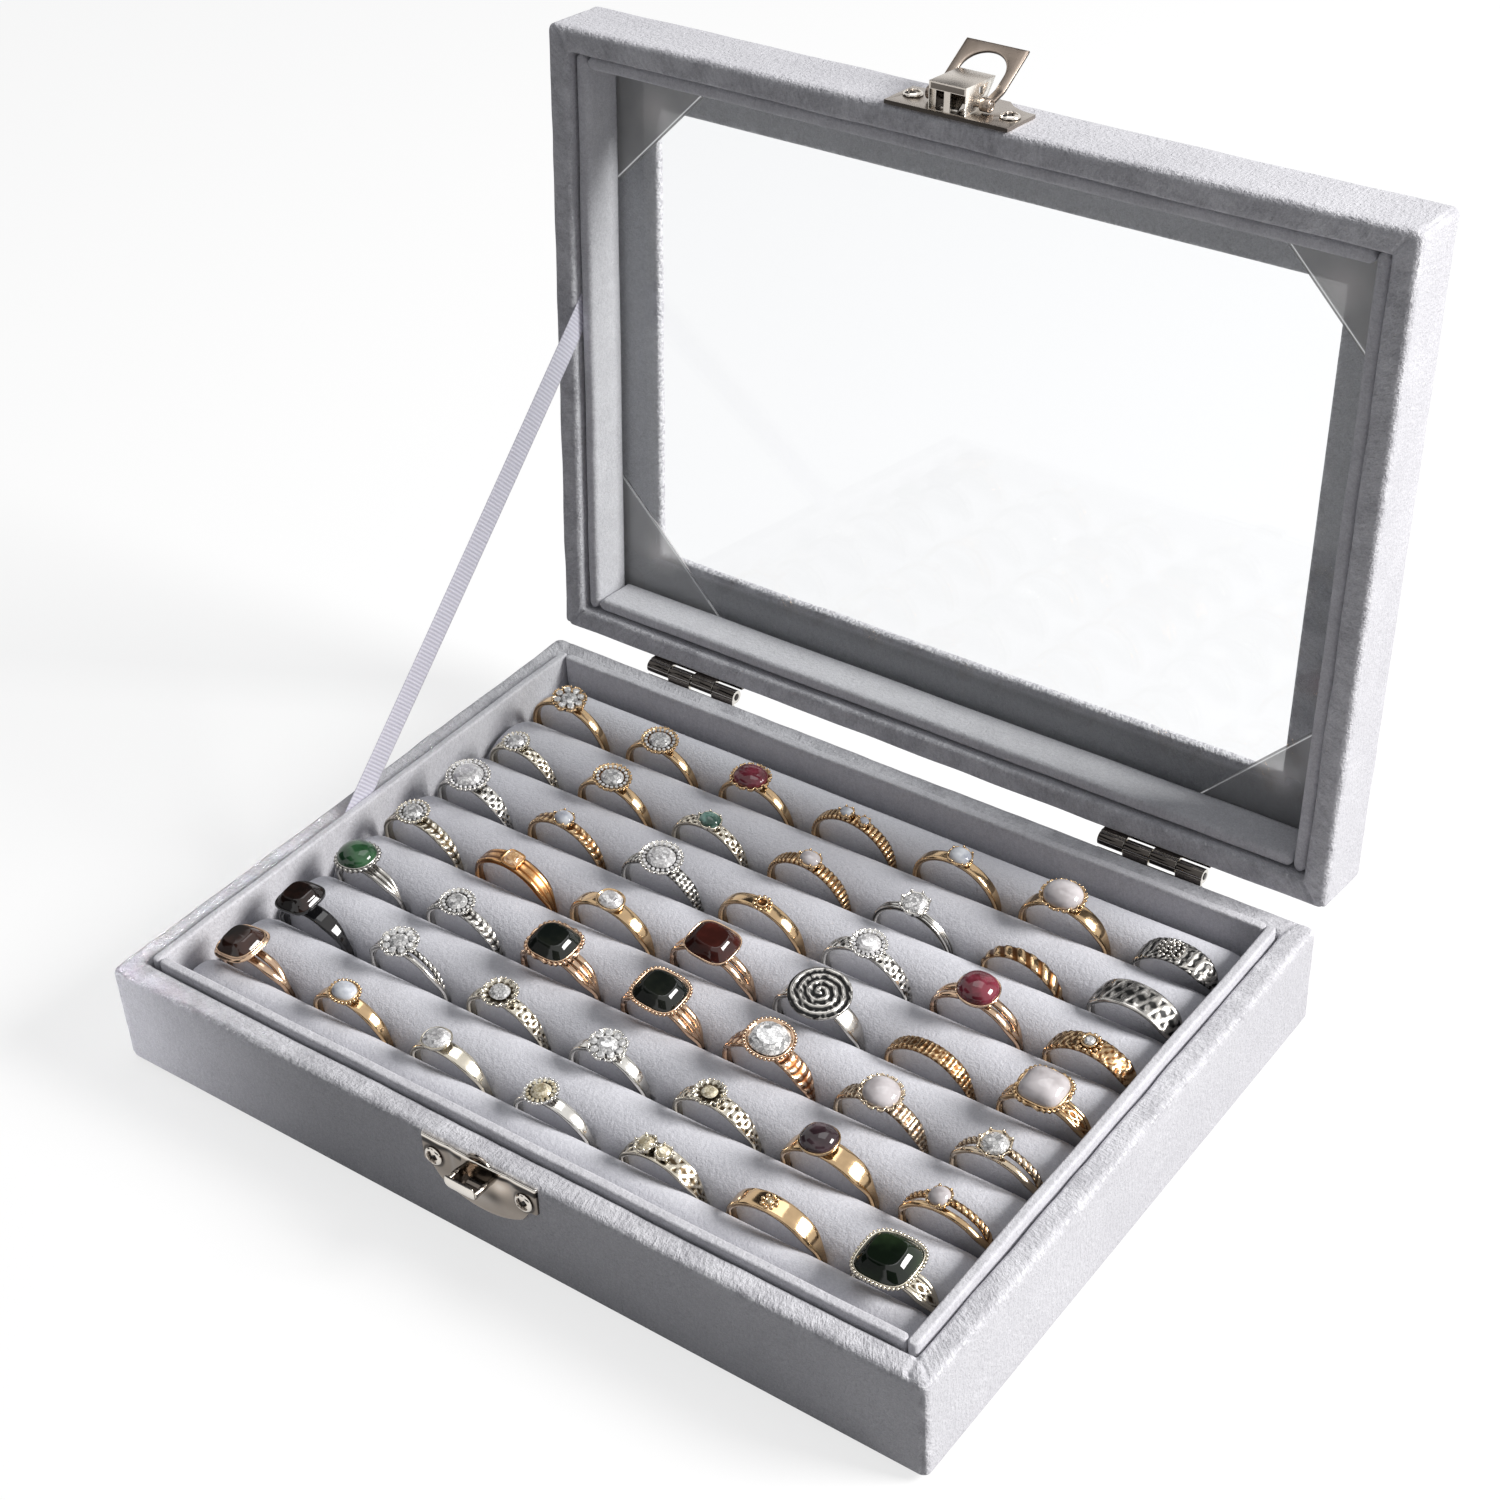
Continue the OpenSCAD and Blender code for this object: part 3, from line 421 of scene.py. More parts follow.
def eased(x):
    """0 below 0, 1 above 1, and 3x^2 - 2x^3 between."""
    x = np.clip(x, 0, 1)
    return x * x * (3 - 2 * x)


def arc(cx, cz, r, start, stop, n):
    """Points of an arc about (cx, cz), from one angle in degrees to another."""
    a = np.radians(np.linspace(start, stop, n))
    return np.stack([cx + r * np.cos(a), cz + r * np.sin(a)], -1)


def evened(profile, pitch):
    """The same polyline with its long steps cut up, so that no step is longer than the pitch."""
    out = [profile[:1]]
    for a, b in zip(profile[:-1], profile[1:]):
        n = max(1, int(np.ceil(np.linalg.norm(b - a) / pitch)))
        out.append(a + (b - a) * (np.arange(1, n + 1) / n)[:, None])
    return np.concatenate(out)


def run(points):
    """Length along a polyline at each of its points, in metres."""
    return np.concatenate([[0], np.cumsum(np.linalg.norm(np.diff(points, axis=0), axis=1))]) * 1e-3


def carried_round(profile):
    """A profile carried round the box: its points are an inset from the outer face and a
    height. The corners are rounded less toward the inside."""
    inset, level = profile.T
    r = np.clip(edge_r - 0.25 * inset, 0.5, None)
    plan = round_path(box_l / 2 - inset, box_d / 2 - inset, r)
    height = np.broadcast_to(level[None, :, None], (*plan.shape[:2], 1))
    return inset, level, plan, np.concatenate([plan, height], -1)


def corner_wear(plan):
    """1 at the box's outer corners, falling by a bell curve of the distance from them."""
    return bell(np.hypot(box_l / 2 - np.abs(plan[..., 0]), box_d / 2 - np.abs(plan[..., 1])), 1.6)


rim = evened(np.concatenate([
    [[16.0, sheet_t]],
    arc(edge_r, sheet_t + edge_r, edge_r, 270, 180, 8),
    arc(edge_r, base_h - edge_r, edge_r, 180, 90, 9),
    arc(wall_t - rim_r, base_h - rim_r, rim_r, 90, 0, 8),
    [[wall_t, floor_z]],
    [[wall_t + 9.0, floor_z]],
]), 0.9)
inset, level, plan, shell = carried_round(rim)
normal = -outward(shell)
if (normal[..., 2] * (level[None, :] > base_h - 0.01)).sum() < 0:
    normal = -normal
lift = 0.11 * ripple(shell, 26, 3) + 0.05 * ripple(shell, 8, 4)
lift *= np.clip((shell[..., 2] - 1.5) / 3, 0, 1)


def near_corner(sx, sy, in_x, in_y, z):
    """A point this far in from two outer faces, at one of the four corners."""
    return np.array([sx * (box_l / 2 - in_x), sy * (box_d / 2 - in_y), z])


four_corners = [(sx, sy) for sx in (-1, 1) for sy in (-1, 1)]
for sx, sy in four_corners:
    inner, a, b, foot, low, middle = (near_corner(sx, sy, *at) for at in (
        (wall_t, wall_t, base_h), (4.4, 1.2, base_h), (0.8, 2.2, base_h),
        (1.2, 0, base_h - 3.2), (1.0, 0, sheet_t + 1.0), (2.4, 2.4, base_h),
    ))
    lift -= crease(shell, inner, a, 0.32, 0.45)
    lift -= crease(shell, a, foot, 0.38, 0.42)
    lift -= crease(shell, inner, b, 0.24, 0.5)
    lift -= crease(shell, foot, low, 0.42, 0.36)
    lift += crease(shell, middle, inner, 0.22, 1.1)
shell = shell + normal * lift[..., None]
worn = 0.1 + 0.9 * np.clip((level - (base_h - 1.3)) / 1.1, 0, 1)
# Along the rim's edges the depth rises above 1: pale hairs, stray pile with a painted highlight. The rubbed
# corners are wear.
edge_hairs_and_highlight = 0.85 * bell(level - (base_h - 0.75), 0.5) * np.where(inset < wall_t / 2, 1, 0.7)
worn = worn + edge_hairs_and_highlight * np.where(plan[:, 8, :1] > box_l / 2 - 2, 0.35, 1)
worn = np.maximum(worn, 1.35 * corner_wear(plan))
base = Cloth()
around = run(np.concatenate([shell[:, 12, :], shell[:1, 12, :]]))
base.add(shell, close_rows=True, along=around, across=run(rim), depth=worn)


def fill_in(cloth, ring, z, flip):
    """Fills the inside of a closed row of points with rings that shrink to its middle."""
    share = np.linspace(1, 0.0005, 6)[None, :, None]
    middle = ring.mean(0)[None, None, :]
    points = middle + (ring[:, None, :] - middle) * share
    points[..., 2] = z
    cloth.add(points, close_rows=True, flip=flip)


fill_in(base, shell[:, -1], floor_z, False)
fill_in(base, shell[:, 0], sheet_t, True)
base_velvet = base.piece("base_velvet_shell", box_velvet)
dress(base_velvet, "base", "velvet", "base_shell")
wall_only = bpy.data.collections.new("lit_by_left_fill")
wall_only.objects.link(base_velvet)
left_fill.light_linking.receiver_collection = wall_only


# The sheet under the base: grey paper-covered card, glued on after the velvet.
def paper_finish(name, dark, light):
    """Uncoated paper: a faint fibre in its colour and in its bump."""
    material, shader, s = surface(name, Roughness=0.85, Specular_IOR_Level=0.3)
    place = s.node("TexCoord", out="Object")
    fibre = s.noise(place, 900.0, 5.0, 0.7)
    cloud = s.noise(place, 60.0, 2.0)
    tone = s.math("ADD", fibre * 0.8 + cloud * 0.4, -0.1, clamp=True)
    s.put(shader.inputs["Base Color"], s.mix(tone, dark, light))
    s.bump(shader, 0.3, 0.0002, fibre)
    return material


def finish(node, material):
    """Gives a CAD node this material in place of its own."""
    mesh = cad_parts[node].data
    mesh.materials.clear()
    mesh.materials.append(material)


finish("bottom_sheet", paper_finish("sheet_paper", (0.16, 0.16, 0.17), (0.26, 0.26, 0.275)))
finish("pad_board", paper_finish("pad_card", (0.42, 0.41, 0.4), (0.56, 0.55, 0.53)))


# The base's liners: card strips wrapped in the same velvet, slipped in along the four walls and
# standing a little above the rim. Their upper edge and their ends are soft and round.
liner_velvet = velvet("liner_velvet", (0.44, 0.435, 0.465), (0.77, 0.765, 0.8), 0.6, 0.45)


def wrapped_strip(length, t, h, seed):
    """A strip along x on z = 0: its section, a round-topped slab, is drawn in to nothing at
    both ends by a half circle, and its faces swell and sink by a slow ripple."""
    end = np.linspace(0, 90, 9)
    out = t / 2 * (1 - np.cos(np.radians(end)))
    middle = np.linspace(-length / 2 + 2, length / 2 - 2, int(length / 1.2))
    x = np.concatenate([-length / 2 + out, middle, (length / 2 - out)[::-1]])
    past = np.clip(np.abs(x) - (length / 2 - t / 2), 0, None)
    wide = np.sqrt(np.clip(1 - (past / (t / 2)) ** 2, 0, 1))
    r = 0.55 if t < 2.5 else 1.1
    section = np.concatenate([
        [[-t / 2, 0], [-t / 2, h - r]],
        arc(r - t / 2, h - r, r, 180, 90, 7),
        arc(t / 2 - r, h - r, r, 90, 0, 7),
        [[t / 2, 0], [-t / 2, 0]],
    ])
    section = evened(section, 0.5)[:-1]
    y = wide[:, None] * section[None, :, 0]
    z = section[None, :, 1] - 0.35 * (1 - wide[:, None]) * (section[None, :, 1] > h - t)
    points = np.stack(np.broadcast_arrays(x[:, None], y, z), -1)
    points[..., 1] += 0.1 * ripple(points * [1, 0, 1], 30, seed)
    points[..., 2] += 0.09 * ripple(points * [1, 0, 0], 22, seed + 1) * (points[..., 2] > h - t)
    worn = 0.5 + 0.45 * bell(points[..., 2] - (h - 0.4), 0.7)
    return points, run(x[:, None]), run(np.vstack([section, section[:1]])), worn


def turned(points, degrees, offset=(0, 0, 0)):
    """Points turned about z and then moved."""
    a = np.radians(degrees)
    turn = np.array([[np.cos(a), -np.sin(a), 0], [np.sin(a), np.cos(a), 0], [0, 0, 1]])
    return points @ turn.T + np.array(offset)


def strip_piece(name, material, length, t, h, seed, place):
    """One wrapped strip, put where place(points) says."""
    points, along, across, worn = wrapped_strip(length, t, h, seed)
    along = np.append(along, along[-1])
    made = Cloth().add(place(points), close_columns=True, along=along, across=across, depth=worn)
    return made.piece(name, material, weld=True)


in_l, in_d = box_l - 2 * wall_t, box_d - 2 * wall_t
liner_gap, liner_t, liner_top, roll_gap = 0.45, 2.0, 26.5, 0.3
pile = 0.22


def four_walls(t):
    """The strips of this thickness along the four walls: name, turn, place and length."""
    wall_x, wall_y = (v / 2 - liner_gap - t / 2 for v in (in_l, in_d))
    between, full = in_l - 2 * (liner_gap + t + roll_gap), in_d - 2 * liner_gap
    return [
        ("front", 0, 0, -wall_y, between), ("back", 180, 0, wall_y, between),
        ("left", 90, -wall_x, 0, full), ("right", -90, wall_x, 0, full),
    ]


for seed, (name, turn, x, y, length) in enumerate(four_walls(liner_t)):
    fluff = 0 if name == "left" else pile
    made = strip_piece(
        f"base_liner_{name}_velvet", liner_velvet,
        length, liner_t + fluff, liner_top - floor_z, 10 + 2 * seed,
        lambda points: turned(points - [0, fluff / 2, 0], turn, (x, y, floor_z)),
    )
    dress(made, "base", "velvet_card", f"base_liner_{name}")


# The ring rolls: eight foam rolls wrapped in velvet, pressed side by side into the tray. They
# close over the slots between them, and each ring's shank parts them where it goes down.
# Its colour is set lighter than the box's velvet to make up for the shade on the rolls: painted light.
roll_velvet = velvet("roll_velvet", (0.5, 0.5, 0.545), (0.76, 0.76, 0.805), 0.0, 0.25, 0.2)
tray_l, tray_d = (v - 2 * (liner_gap + liner_t + roll_gap) for v in (in_l, in_d))
pad_z, crest_z, slot_half, row_pitch, column_pitch = 4.3, 22.0, 1.4, 17.2, 26.5
ring_x = 1 + column_pitch * (np.arange(7) - 3)
slot_y = -1 + row_pitch * (3 - np.arange(7))
ring_z, pivot_z, ring_lean = 17.6, 15.5, 0.13


def superellipse(angles, power_x, power_y):
    """The cosine and the sine of the angles, each with its size raised to a power. Below 1 the
    circle turns into a square with round corners."""
    c, q = np.cos(angles), np.sin(angles)
    return np.sign(c) * np.abs(c) ** power_x, np.sign(q) * np.abs(q) ** power_y


def roll_points(front, back, slot_front, slot_back, seed):
    """A foam roll between two depths. Its upper part is a half ellipse that swells over the
    slot on each side, down to where it meets its neighbour, and its ends are rounded down. Each
    ring presses it back along the circle of its shank."""
    end_r, waist, shank_r = 6, 12.6, 10.1
    close = np.array([0, 0.1, 0.4, 0.9, 1.6])
    middle = np.linspace(-tray_l / 2 + 2.4, tray_l / 2 - 2.4, 310)
    x = np.concatenate([-tray_l / 2 + close, middle, tray_l / 2 - close[::-1]])
    away = np.clip(end_r - (tray_l / 2 - np.abs(x)), 0, end_r)
    drop = (end_r - np.sqrt(end_r**2 - away**2))[:, None]
    c, q = superellipse(np.radians(np.linspace(0, 180, 45))[None, :], 0.94, 0.94)
    side_z = np.linspace(pad_z, waist, 12)[None, 1:-1]
    flat = np.zeros_like(drop)
    under = np.linspace(-1, 1, 9)[None, :]
    share = np.concatenate([np.ones_like(side_z), c, -np.ones_like(side_z), under], 1)
    high = np.concatenate([
        side_z + flat, waist + (crest_z - waist - drop) * q,
        side_z[:, ::-1] + flat, np.full_like(under, pad_z) + flat,
    ], 1)
    y0, y1 = front - slot_front * 1.25, back + slot_back * 1.25
    y = (y0 + y1) / 2 + (y1 - y0) / 2 * share + np.zeros_like(high)
    off = x[:, None, None] - ring_x
    ring = bell(np.hypot(off, high[..., None] - ring_z) - shank_r, 0.7).max(-1)
    lean = (high - pivot_z) * ring_lean
    y = np.where(
        share < 0,
        np.maximum(y, y0 + slot_front * (1.15 - lean) * ring),
        np.minimum(y, y1 - slot_back * (1.15 + lean) * ring),
    )
    points = np.stack([np.broadcast_to(x[:, None], y.shape), y, high], -1)
    rise = np.clip((high - 15) / 5, 0, 1)
    points[..., 2] += 0.06 * ripple(points * [1, 1, 0], 22, seed + 1) * rise
    points[..., 1] += 0.05 * ripple(points * [1, 0, 0], 30, seed + 2) * rise
    # The second value is painted shade: below its crest the roll's front side darkens, as into the shade of
    # the slot.
    return points, -0.9 * np.clip((20.4 - high) / 5.5, 0, 1) * (share < 0)


slot_edges = np.repeat(slot_y, 2) + np.tile([slot_half, -slot_half], 7)
roll_edges = np.concatenate([[tray_d / 2], slot_edges, [-tray_d / 2]]).reshape(8, 2)
for k, (back, front) in enumerate(roll_edges):
    points, shade = roll_points(front, back, float(k < 7), float(k > 0), 40 + 3 * k)
    section = np.vstack([points[150], points[150, :1]])
    roll = Cloth().add(points, close_columns=True, depth=shade, along=run(points[:, 20]), across=run(section))
    for row, flip in ((points[0], False), (points[-1], True)):
        middle = row.mean(0)
        fan = middle + (row[:, None] - middle) * np.linspace(1, 0.001, 5)[None, :, None]
        roll.add(fan, close_rows=True, flip=flip, depth=np.zeros(fan.shape[:2]))
    made = roll.piece(f"ring_roll_{k + 1}_velvet", roll_velvet, weld=True)
    dress(made, "base", "velvet_foam", f"ring_roll_{k + 1}")


# The lid: a frame of board, wrapped like the base. Its velvet goes round the outside, over a
# lip that is left round the window, and back under the rim, with folded corners.
hinge_y, hinge_z, open_angle = 74.8, 25.5, math.radians(95)
lid_z0, lid_z1, lip_w, lip_t = 26.0, 43.0, 19.0, 2.5


def at_lid(points):
    """Points drawn on the closed lid, turned about the hinge axis to the open lid."""
    dy, dz = points[..., 1] - hinge_y, points[..., 2] - hinge_z
    c, s = math.cos(open_angle), math.sin(open_angle)
    return np.stack([points[..., 0], hinge_y + dy * c + dz * s, hinge_z - dy * s + dz * c], -1)


lip_r, lip_z = lip_t / 2, lid_z1 - lip_t
loop = np.concatenate([
    arc(edge_r, lid_z1 - edge_r, edge_r, 180, 90, 8),
    arc(lip_w - lip_r, lid_z1 - lip_r, lip_r, 90, -90, 12),
    [[wall_t + 0.3, lip_z], [wall_t, lip_z - 0.3]],
    arc(wall_t - rim_r, lid_z0 + rim_r, rim_r, 0, -90, 8),
    arc(edge_r, lid_z0 + edge_r, edge_r, 270, 180, 9),
    [[0, lid_z1 - edge_r]],
])
loop = evened(loop, 0.9)[:-1]
inset, level, plan, shell = carried_round(loop)
wrapped = np.concatenate([shell[:, -1:], shell, shell[:, :1]], 1)
normal = outward(wrapped)[:, 1:-1]
if normal[0, 2, 2] < 0:
    normal = -normal
lift = 0.1 * ripple(shell, 24, 5) + 0.05 * ripple(shell, 8, 6)
lift *= np.where((inset > wall_t + 1) & (level < lid_z1 - 1), 0.2, 1)
for sx, sy in four_corners:
    inner, bow, tip, foot, top, lip = (near_corner(sx, sy, *at) for at in (
        (wall_t, wall_t, lid_z0), (3.4, 2.2, lid_z0), (0.9, 0.2, lid_z0 + 0.4),
        (0.9, 0.2, lid_z0 + 14), (1, 1, lid_z1), (lip_w, lip_w, lid_z1),
    ))
    beside = np.array([-0.5 * sx, 0.7 * sy, 0])
    lift -= crease(shell, inner, bow, 0.34, 0.4) + crease(shell, bow, tip, 0.34, 0.4)
    lift -= crease(shell, tip, foot, 0.3, 0.36)
    lift += crease(shell, inner + beside, bow + beside, 0.16, 0.5)
    lift -= crease(shell, top, lip, 0.3, 0.4)
worn = 0.1 + 0.9 * np.clip((lid_z0 + 1.3 - level) / 1.1, 0, 1)
# Above 1 along the rim's lower edge, the lip's inner edge and the outer top edge: pale hairs, stray pile with
# a painted highlight.
worn = worn + 0.75 * bell(level - (lid_z0 + 0.75), 0.5)
worn = worn + 1.45 * bell(inset - lip_w + 0.2, 1.3) + 0.8 * bell(np.hypot(inset, level - lid_z1), 1.2)
# Under the lip on the hinge side the depth is lowered below 0: painted shade.
under_lip = (level < lid_z1 - 1.5) * (inset > wall_t) * np.clip((lip_w - 0.6 - inset) / 2, 0, 1)
near_hinge = eased((plan[..., 1] - (box_d / 2 - lip_w - 0.5)) / 1.5)
worn = np.maximum(worn[None, :], 1.35 * corner_wear(plan)) - 0.5 * near_hinge * under_lip
shell = at_lid(shell + normal * lift[..., None])
lid = Cloth()
lid.add(
    shell, close_rows=True, close_columns=True, depth=worn,
    along=run(np.concatenate([shell[:, 40], shell[:1, 40]])), across=run(np.vstack([loop, loop[:1]])),
)
dress(lid.piece("lid_velvet_frame", box_velvet), "lid", "velvet", "lid_frame")


# The lid's liners: four velvet-wrapped strips that stand on the pane and hold it against the lip.
lid_liner_t, pane_z, lid_liner_z = 3.0, 38.2, 28.0
for seed, (name, turn, x, y, length) in enumerate(four_walls(lid_liner_t)):
    made = strip_piece(
        f"lid_liner_{name}_velvet", liner_velvet,
        length, lid_liner_t, pane_z - lid_liner_z, 20 + 2 * seed,
        lambda points: at_lid(turned(points * [1, 1, -1], turn, (x, y, pane_z))),
    )
    made.data.flip_normals()
    dress(made, "lid", "velvet_card", f"lid_liner_{name}")


# The pane: clear float glass, trapped between the lip and the liners. A gusset of thin sheer
# fabric lies under each of its corners. Its cut edge is a fine pale line, a painted highlight
# that glows, and near the lip's corner it takes a pale pink painted reflection.
def lets_light_by(s, shader, share, colour):
    """Mixes clear in behind the shader: for this share of what is seen, and for all light that
    only passes through on its way to a matt surface."""
    passed = (s.node("LightPath", out=f"Is {kind} Ray") for kind in ("Shadow", "Diffuse"))
    clear = s.node("BsdfTransparent", values={"Color": (*colour, 1)})
    factor = s.math("MAXIMUM", s.math("MAXIMUM", *passed), share)
    shade = s.node("MixShader", values={0: factor, 1: Shade(s.tree, shader.outputs[0]), 2: clear})
    s.put(s.tree.nodes["Material Output"].inputs["Surface"], shade)


glass, shader, s = surface(
    "pane_glass", Base_Color=(0.94, 0.948, 0.957), Roughness=0.0, IOR=1.38, Transmission_Weight=1.0
)
lets_light_by(s, shader, 0.0, (0.9, 0.91, 0.905))
finish("window_glass", glass)

patch_leg = 33.4
patch, shader, s = surface("patch_film", Roughness=0.3, Specular_IOR_Level=0.3)
place = s.node("TexCoord", out="Object")
x, y, z = (s.node("SeparateXYZ", values={"Vector": place}, out=axis) for axis in "XYZ")
c, q = math.cos(open_angle), math.sin(open_angle)
shut_y = (y - hinge_y * 1e-3) * c - (z - hinge_z * 1e-3) * q + hinge_y * 1e-3
x, y = s.math("ABSOLUTE", x), s.math("ABSOLUTE", shut_y)
cut_edge = x + y - (box_l / 2 + box_d / 2 - wall_t * 2 - patch_leg) * 1e-3
smear = s.noise(place, 70.0, 4.0, 0.6)
from_lip = {"X": x - (box_l / 2 - lip_w) * 1e-3, "Y": y - (box_d / 2 - lip_w) * 1e-3}
near_lip = s.node("VectorMath", {"operation": "LENGTH"}, {0: s.node("CombineXYZ", values=from_lip)}, 1)
# Painted reflection: within 7.5 mm of the lip's corner the film turns pale pink.
glow = (1 - near_lip.step(0.0, 0.0075)) * 0.75
# Painted highlight: a thin pale line along the cut edge, which also glows though it is no lamp.
line = 1 - s.math("ABSOLUTE", cut_edge - 0.0002).step(0.0001, 0.00028)
film = s.mix(smear.step(0.2, 0.8), (0.5, 0.49, 0.49), (0.6, 0.585, 0.585))
film = s.mix(glow, film, (0.95, 0.89, 0.88))
s.put(shader.inputs["Base Color"], s.mix(line, film, (1.0, 1.0, 1.0)))
s.put(shader.inputs["Emission Color"], s.mix(line, (0.0, 0.0, 0.0), (0.4, 0.4, 0.4)))
shader.inputs["Emission Strength"].default_value = 1.0
lets_light_by(s, shader, 0.4, (0.95, 0.95, 0.95))
finish("window_corner_patches", patch)


# The stay: a grosgrain ribbon glued in behind the left liners of base and lid. Taut, it stops
# the lid; its cross ribs show, and its two edges are woven close.
reach, tail, ribbon_w, ribbon_t = 79.0, 8.0, 6.3, 0.3
free = 2 * reach * math.sin(open_angle / 2)
slope = (math.pi - open_angle) / 2
along = np.linspace(-tail, free + tail, 1000)
rib_pitch, sag = 0.85, 0.25
width = np.linspace(-ribbon_w / 2, ribbon_w / 2, 15)
around, face = np.append(width, width[::-1]), np.repeat([1.0, -1.0], 15)
selvedge = np.abs(around) > ribbon_w / 2 - 0.2
rib = 0.045 * np.sin(2 * np.pi * along / rib_pitch)[:, None] * ~selvedge
bow = sag * np.sin(np.pi * np.clip(along / free, 0, 1))[:, None]
x = -(in_l - liner_gap) / 2 + face * (ribbon_t / 2 * (1 - 0.6 * selvedge) + rib)
y = hinge_y - reach + along[:, None] * math.cos(slope) - around * math.sin(slope)
z = hinge_z + along[:, None] * math.sin(slope) + around * math.cos(slope) - bow
points = np.stack(np.broadcast_arrays(x, y, z), -1)
ribbon, shader, s = surface(
    "grosgrain", Roughness=0.55, Sheen_Weight=0.35, Sheen_Roughness=0.4, Sheen_Tint=(1.0, 1.0, 1.0)
)
flat = s.node("TexCoord", out="UV")
u = s.node("SeparateXYZ", values={"Vector": flat})
# The colour follows a wave of the rib pitch, lighter on the ribs and darker between them: painted shade.
wave = s.math("SINE", u * (2 * math.pi / (rib_pitch * 1e-3))) * 0.5 + 0.5
thread = s.node("Mapping", values={"Vector": flat, "Scale": (1200.0, 5200.0, 1.0)})
thread = s.noise(thread, 1.0, 2.0)
tone = s.math("ADD", wave * 0.6 + thread * 0.5, -0.05, clamp=True)
s.put(shader.inputs["Base Color"], s.mix(tone, (0.52, 0.5, 0.6), (0.8, 0.79, 0.87)))
s.bump(shader, 0.4, 0.00015, thread)
made = Cloth().add(
    points, close_columns=True,
    along=np.append(along, along[-1]) * 1e-3, across=np.append(around, around[0]) * 1e-3,
)
ribbon_piece = made.piece("lid_stay_ribbon", ribbon, weld=True)
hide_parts("lid_ribbon")
low, high = (tuple(points[np.searchsorted(along, at)].mean(0) * 1e-3) for at in (2.0, free - 2.0))
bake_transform(ribbon_piece)


# The rings: forty-nine cast or wire-made rings of several sizes. Each stands in its slot on the
# same level. Shanks are worked with ribs, twists, scrolls or leaves, or are split into strands.
slot_low, slot_width = 6.8, 2.1


def worked(kind, u, v, half):
    """How raised, from 0 to 1, the surface of a shank is: u is the length along it in mm and v
    runs from -1 to 1 across it. Each kind is a product, a maximum or a sum of waves."""
    w = v * half
    rim, wave = bell(np.abs(v) - 0.92, 0.16), np.sin(2 * np.pi * u / 5.4)
    vein = 1 - 0.8 * bell(v, 0.16)
    check = 0.5 * np.floor(u / 1.25)
    return {
        "plain": lambda: 1 + 0 * u * v,
        "grooved": lambda: 0.5 - 0.5 * np.cos(3 * np.pi * (v + 1)) + 0 * u,
        "ribbed": lambda: eased(0.75 + 0.75 * np.cos(2 * np.pi * u / 1.3)) + 0 * v,
        "twisted": lambda: eased(0.6 + 0.6 * np.cos(2 * np.pi * u / 3.2 + 2.2 * v)),
        "rope": lambda: np.abs(np.cos(np.pi * u / 1.5 + 1.4 * v)),
        "pave": lambda: np.abs(np.cos(np.pi * u / 1.25) * np.cos(np.pi * (w / 1.25 + check))) ** 0.7,
        "scroll": lambda: np.maximum(
            rim, eased(0.9 - 1.6 * np.cos(2 * np.pi * u / 2.3) * np.cos(1.7 * np.pi * v + 0.9 * wave))
        ),
        "leaf": lambda: np.maximum(rim * 0.7, np.abs(np.cos(np.pi * u / 1.9 + 2.1 * np.abs(v)))) * vein,
        "woven": lambda: np.maximum(
            np.maximum(bell(v - 0.6 * wave, 0.24), bell(v + 0.6 * wave, 0.24)), bell(np.abs(v) - 0.9, 0.2)
        ),
        "nugget": lambda: eased(
            0.55 + 0.8 * np.sin(2 * np.pi * u / 1.7 + 2.6 * np.sin(3.1 * w))
            * np.cos(2 * np.pi * w / 1.9 + 0.7 * u)
        ),
    }[kind]()


def strand(size, width, thick, kind, shift=0.0, square=0.8, height=0.28, fine=0.26):
    """One band round the finger. Its section is a superellipse, as wide as the slot allows
    below and as wide as asked near the top; height times worked() is added to its outer side."""
    top = np.linspace(-1.95, 1.95, int(3.9 * size / fine))
    t = np.concatenate([top, np.linspace(1.95, 2 * np.pi - 1.95, 26)[1:-1]])
    clear = eased((size * np.cos(t) - 1.6) / 6.0)[:, None]
    narrow = min(width, slot_width)
    half = (narrow + (width - narrow) * clear) / 2
    a = np.concatenate([np.linspace(0, np.pi, 15), np.linspace(np.pi, 2 * np.pi, 7)[1:-1]])
    v, n = superellipse(a[None, :], square, square)
    raised = worked(kind, (t * size)[:, None], v, half) * np.clip(n * 2, 0, 1)
    cut = eased((size * np.cos(t) + 0.5) / 2.0)[:, None]
    lowered = (1 - raised) * cut * (kind != "plain")
    out = size - thick / 2 + thick / 2 * n - height * lowered * np.clip(n * 3, 0, 1)
    x, z = out * np.sin(t)[:, None], out * np.cos(t)[:, None]
    # Depth is painted shade on the band's flat sides and inner side, and in the lowered work; on the oxidised
    # metal the dark of the lowered work is its patina.
    depth = (1 - lowered * (n > 0.05)) * (1 - 0.62 * bell(n, 0.4)) * np.where(n < -0.3, 0.72, 1)
    return np.stack([x, half * v + shift * clear, z], -1), depth


def whole_turn(n):
    """Angles evenly spaced round a circle."""
    return np.linspace(0, 2 * np.pi, n, endpoint=False)


def outline(a, b, e, n=44, lobes=0, lobe=0.0):
    """Points of a superellipse with half sizes a and b, and their outward normals. Lobes wave
    it outwards by lobe times the size of a cosine."""
    p = whole_turn(n)
    c, q = superellipse(p, e, e)
    ring = np.stack([a * c, b * q], -1)
    way = np.roll(ring, -1, 0) - np.roll(ring, 1, 0)
    normal = np.stack([way[:, 1], -way[:, 0]], -1)
    normal /= np.linalg.norm(normal, axis=1, keepdims=True)
    if lobes:
        ring = ring + normal * (lobe * (np.abs(np.cos(lobes * p / 2)) - 0.3))[:, None]
    return ring, normal


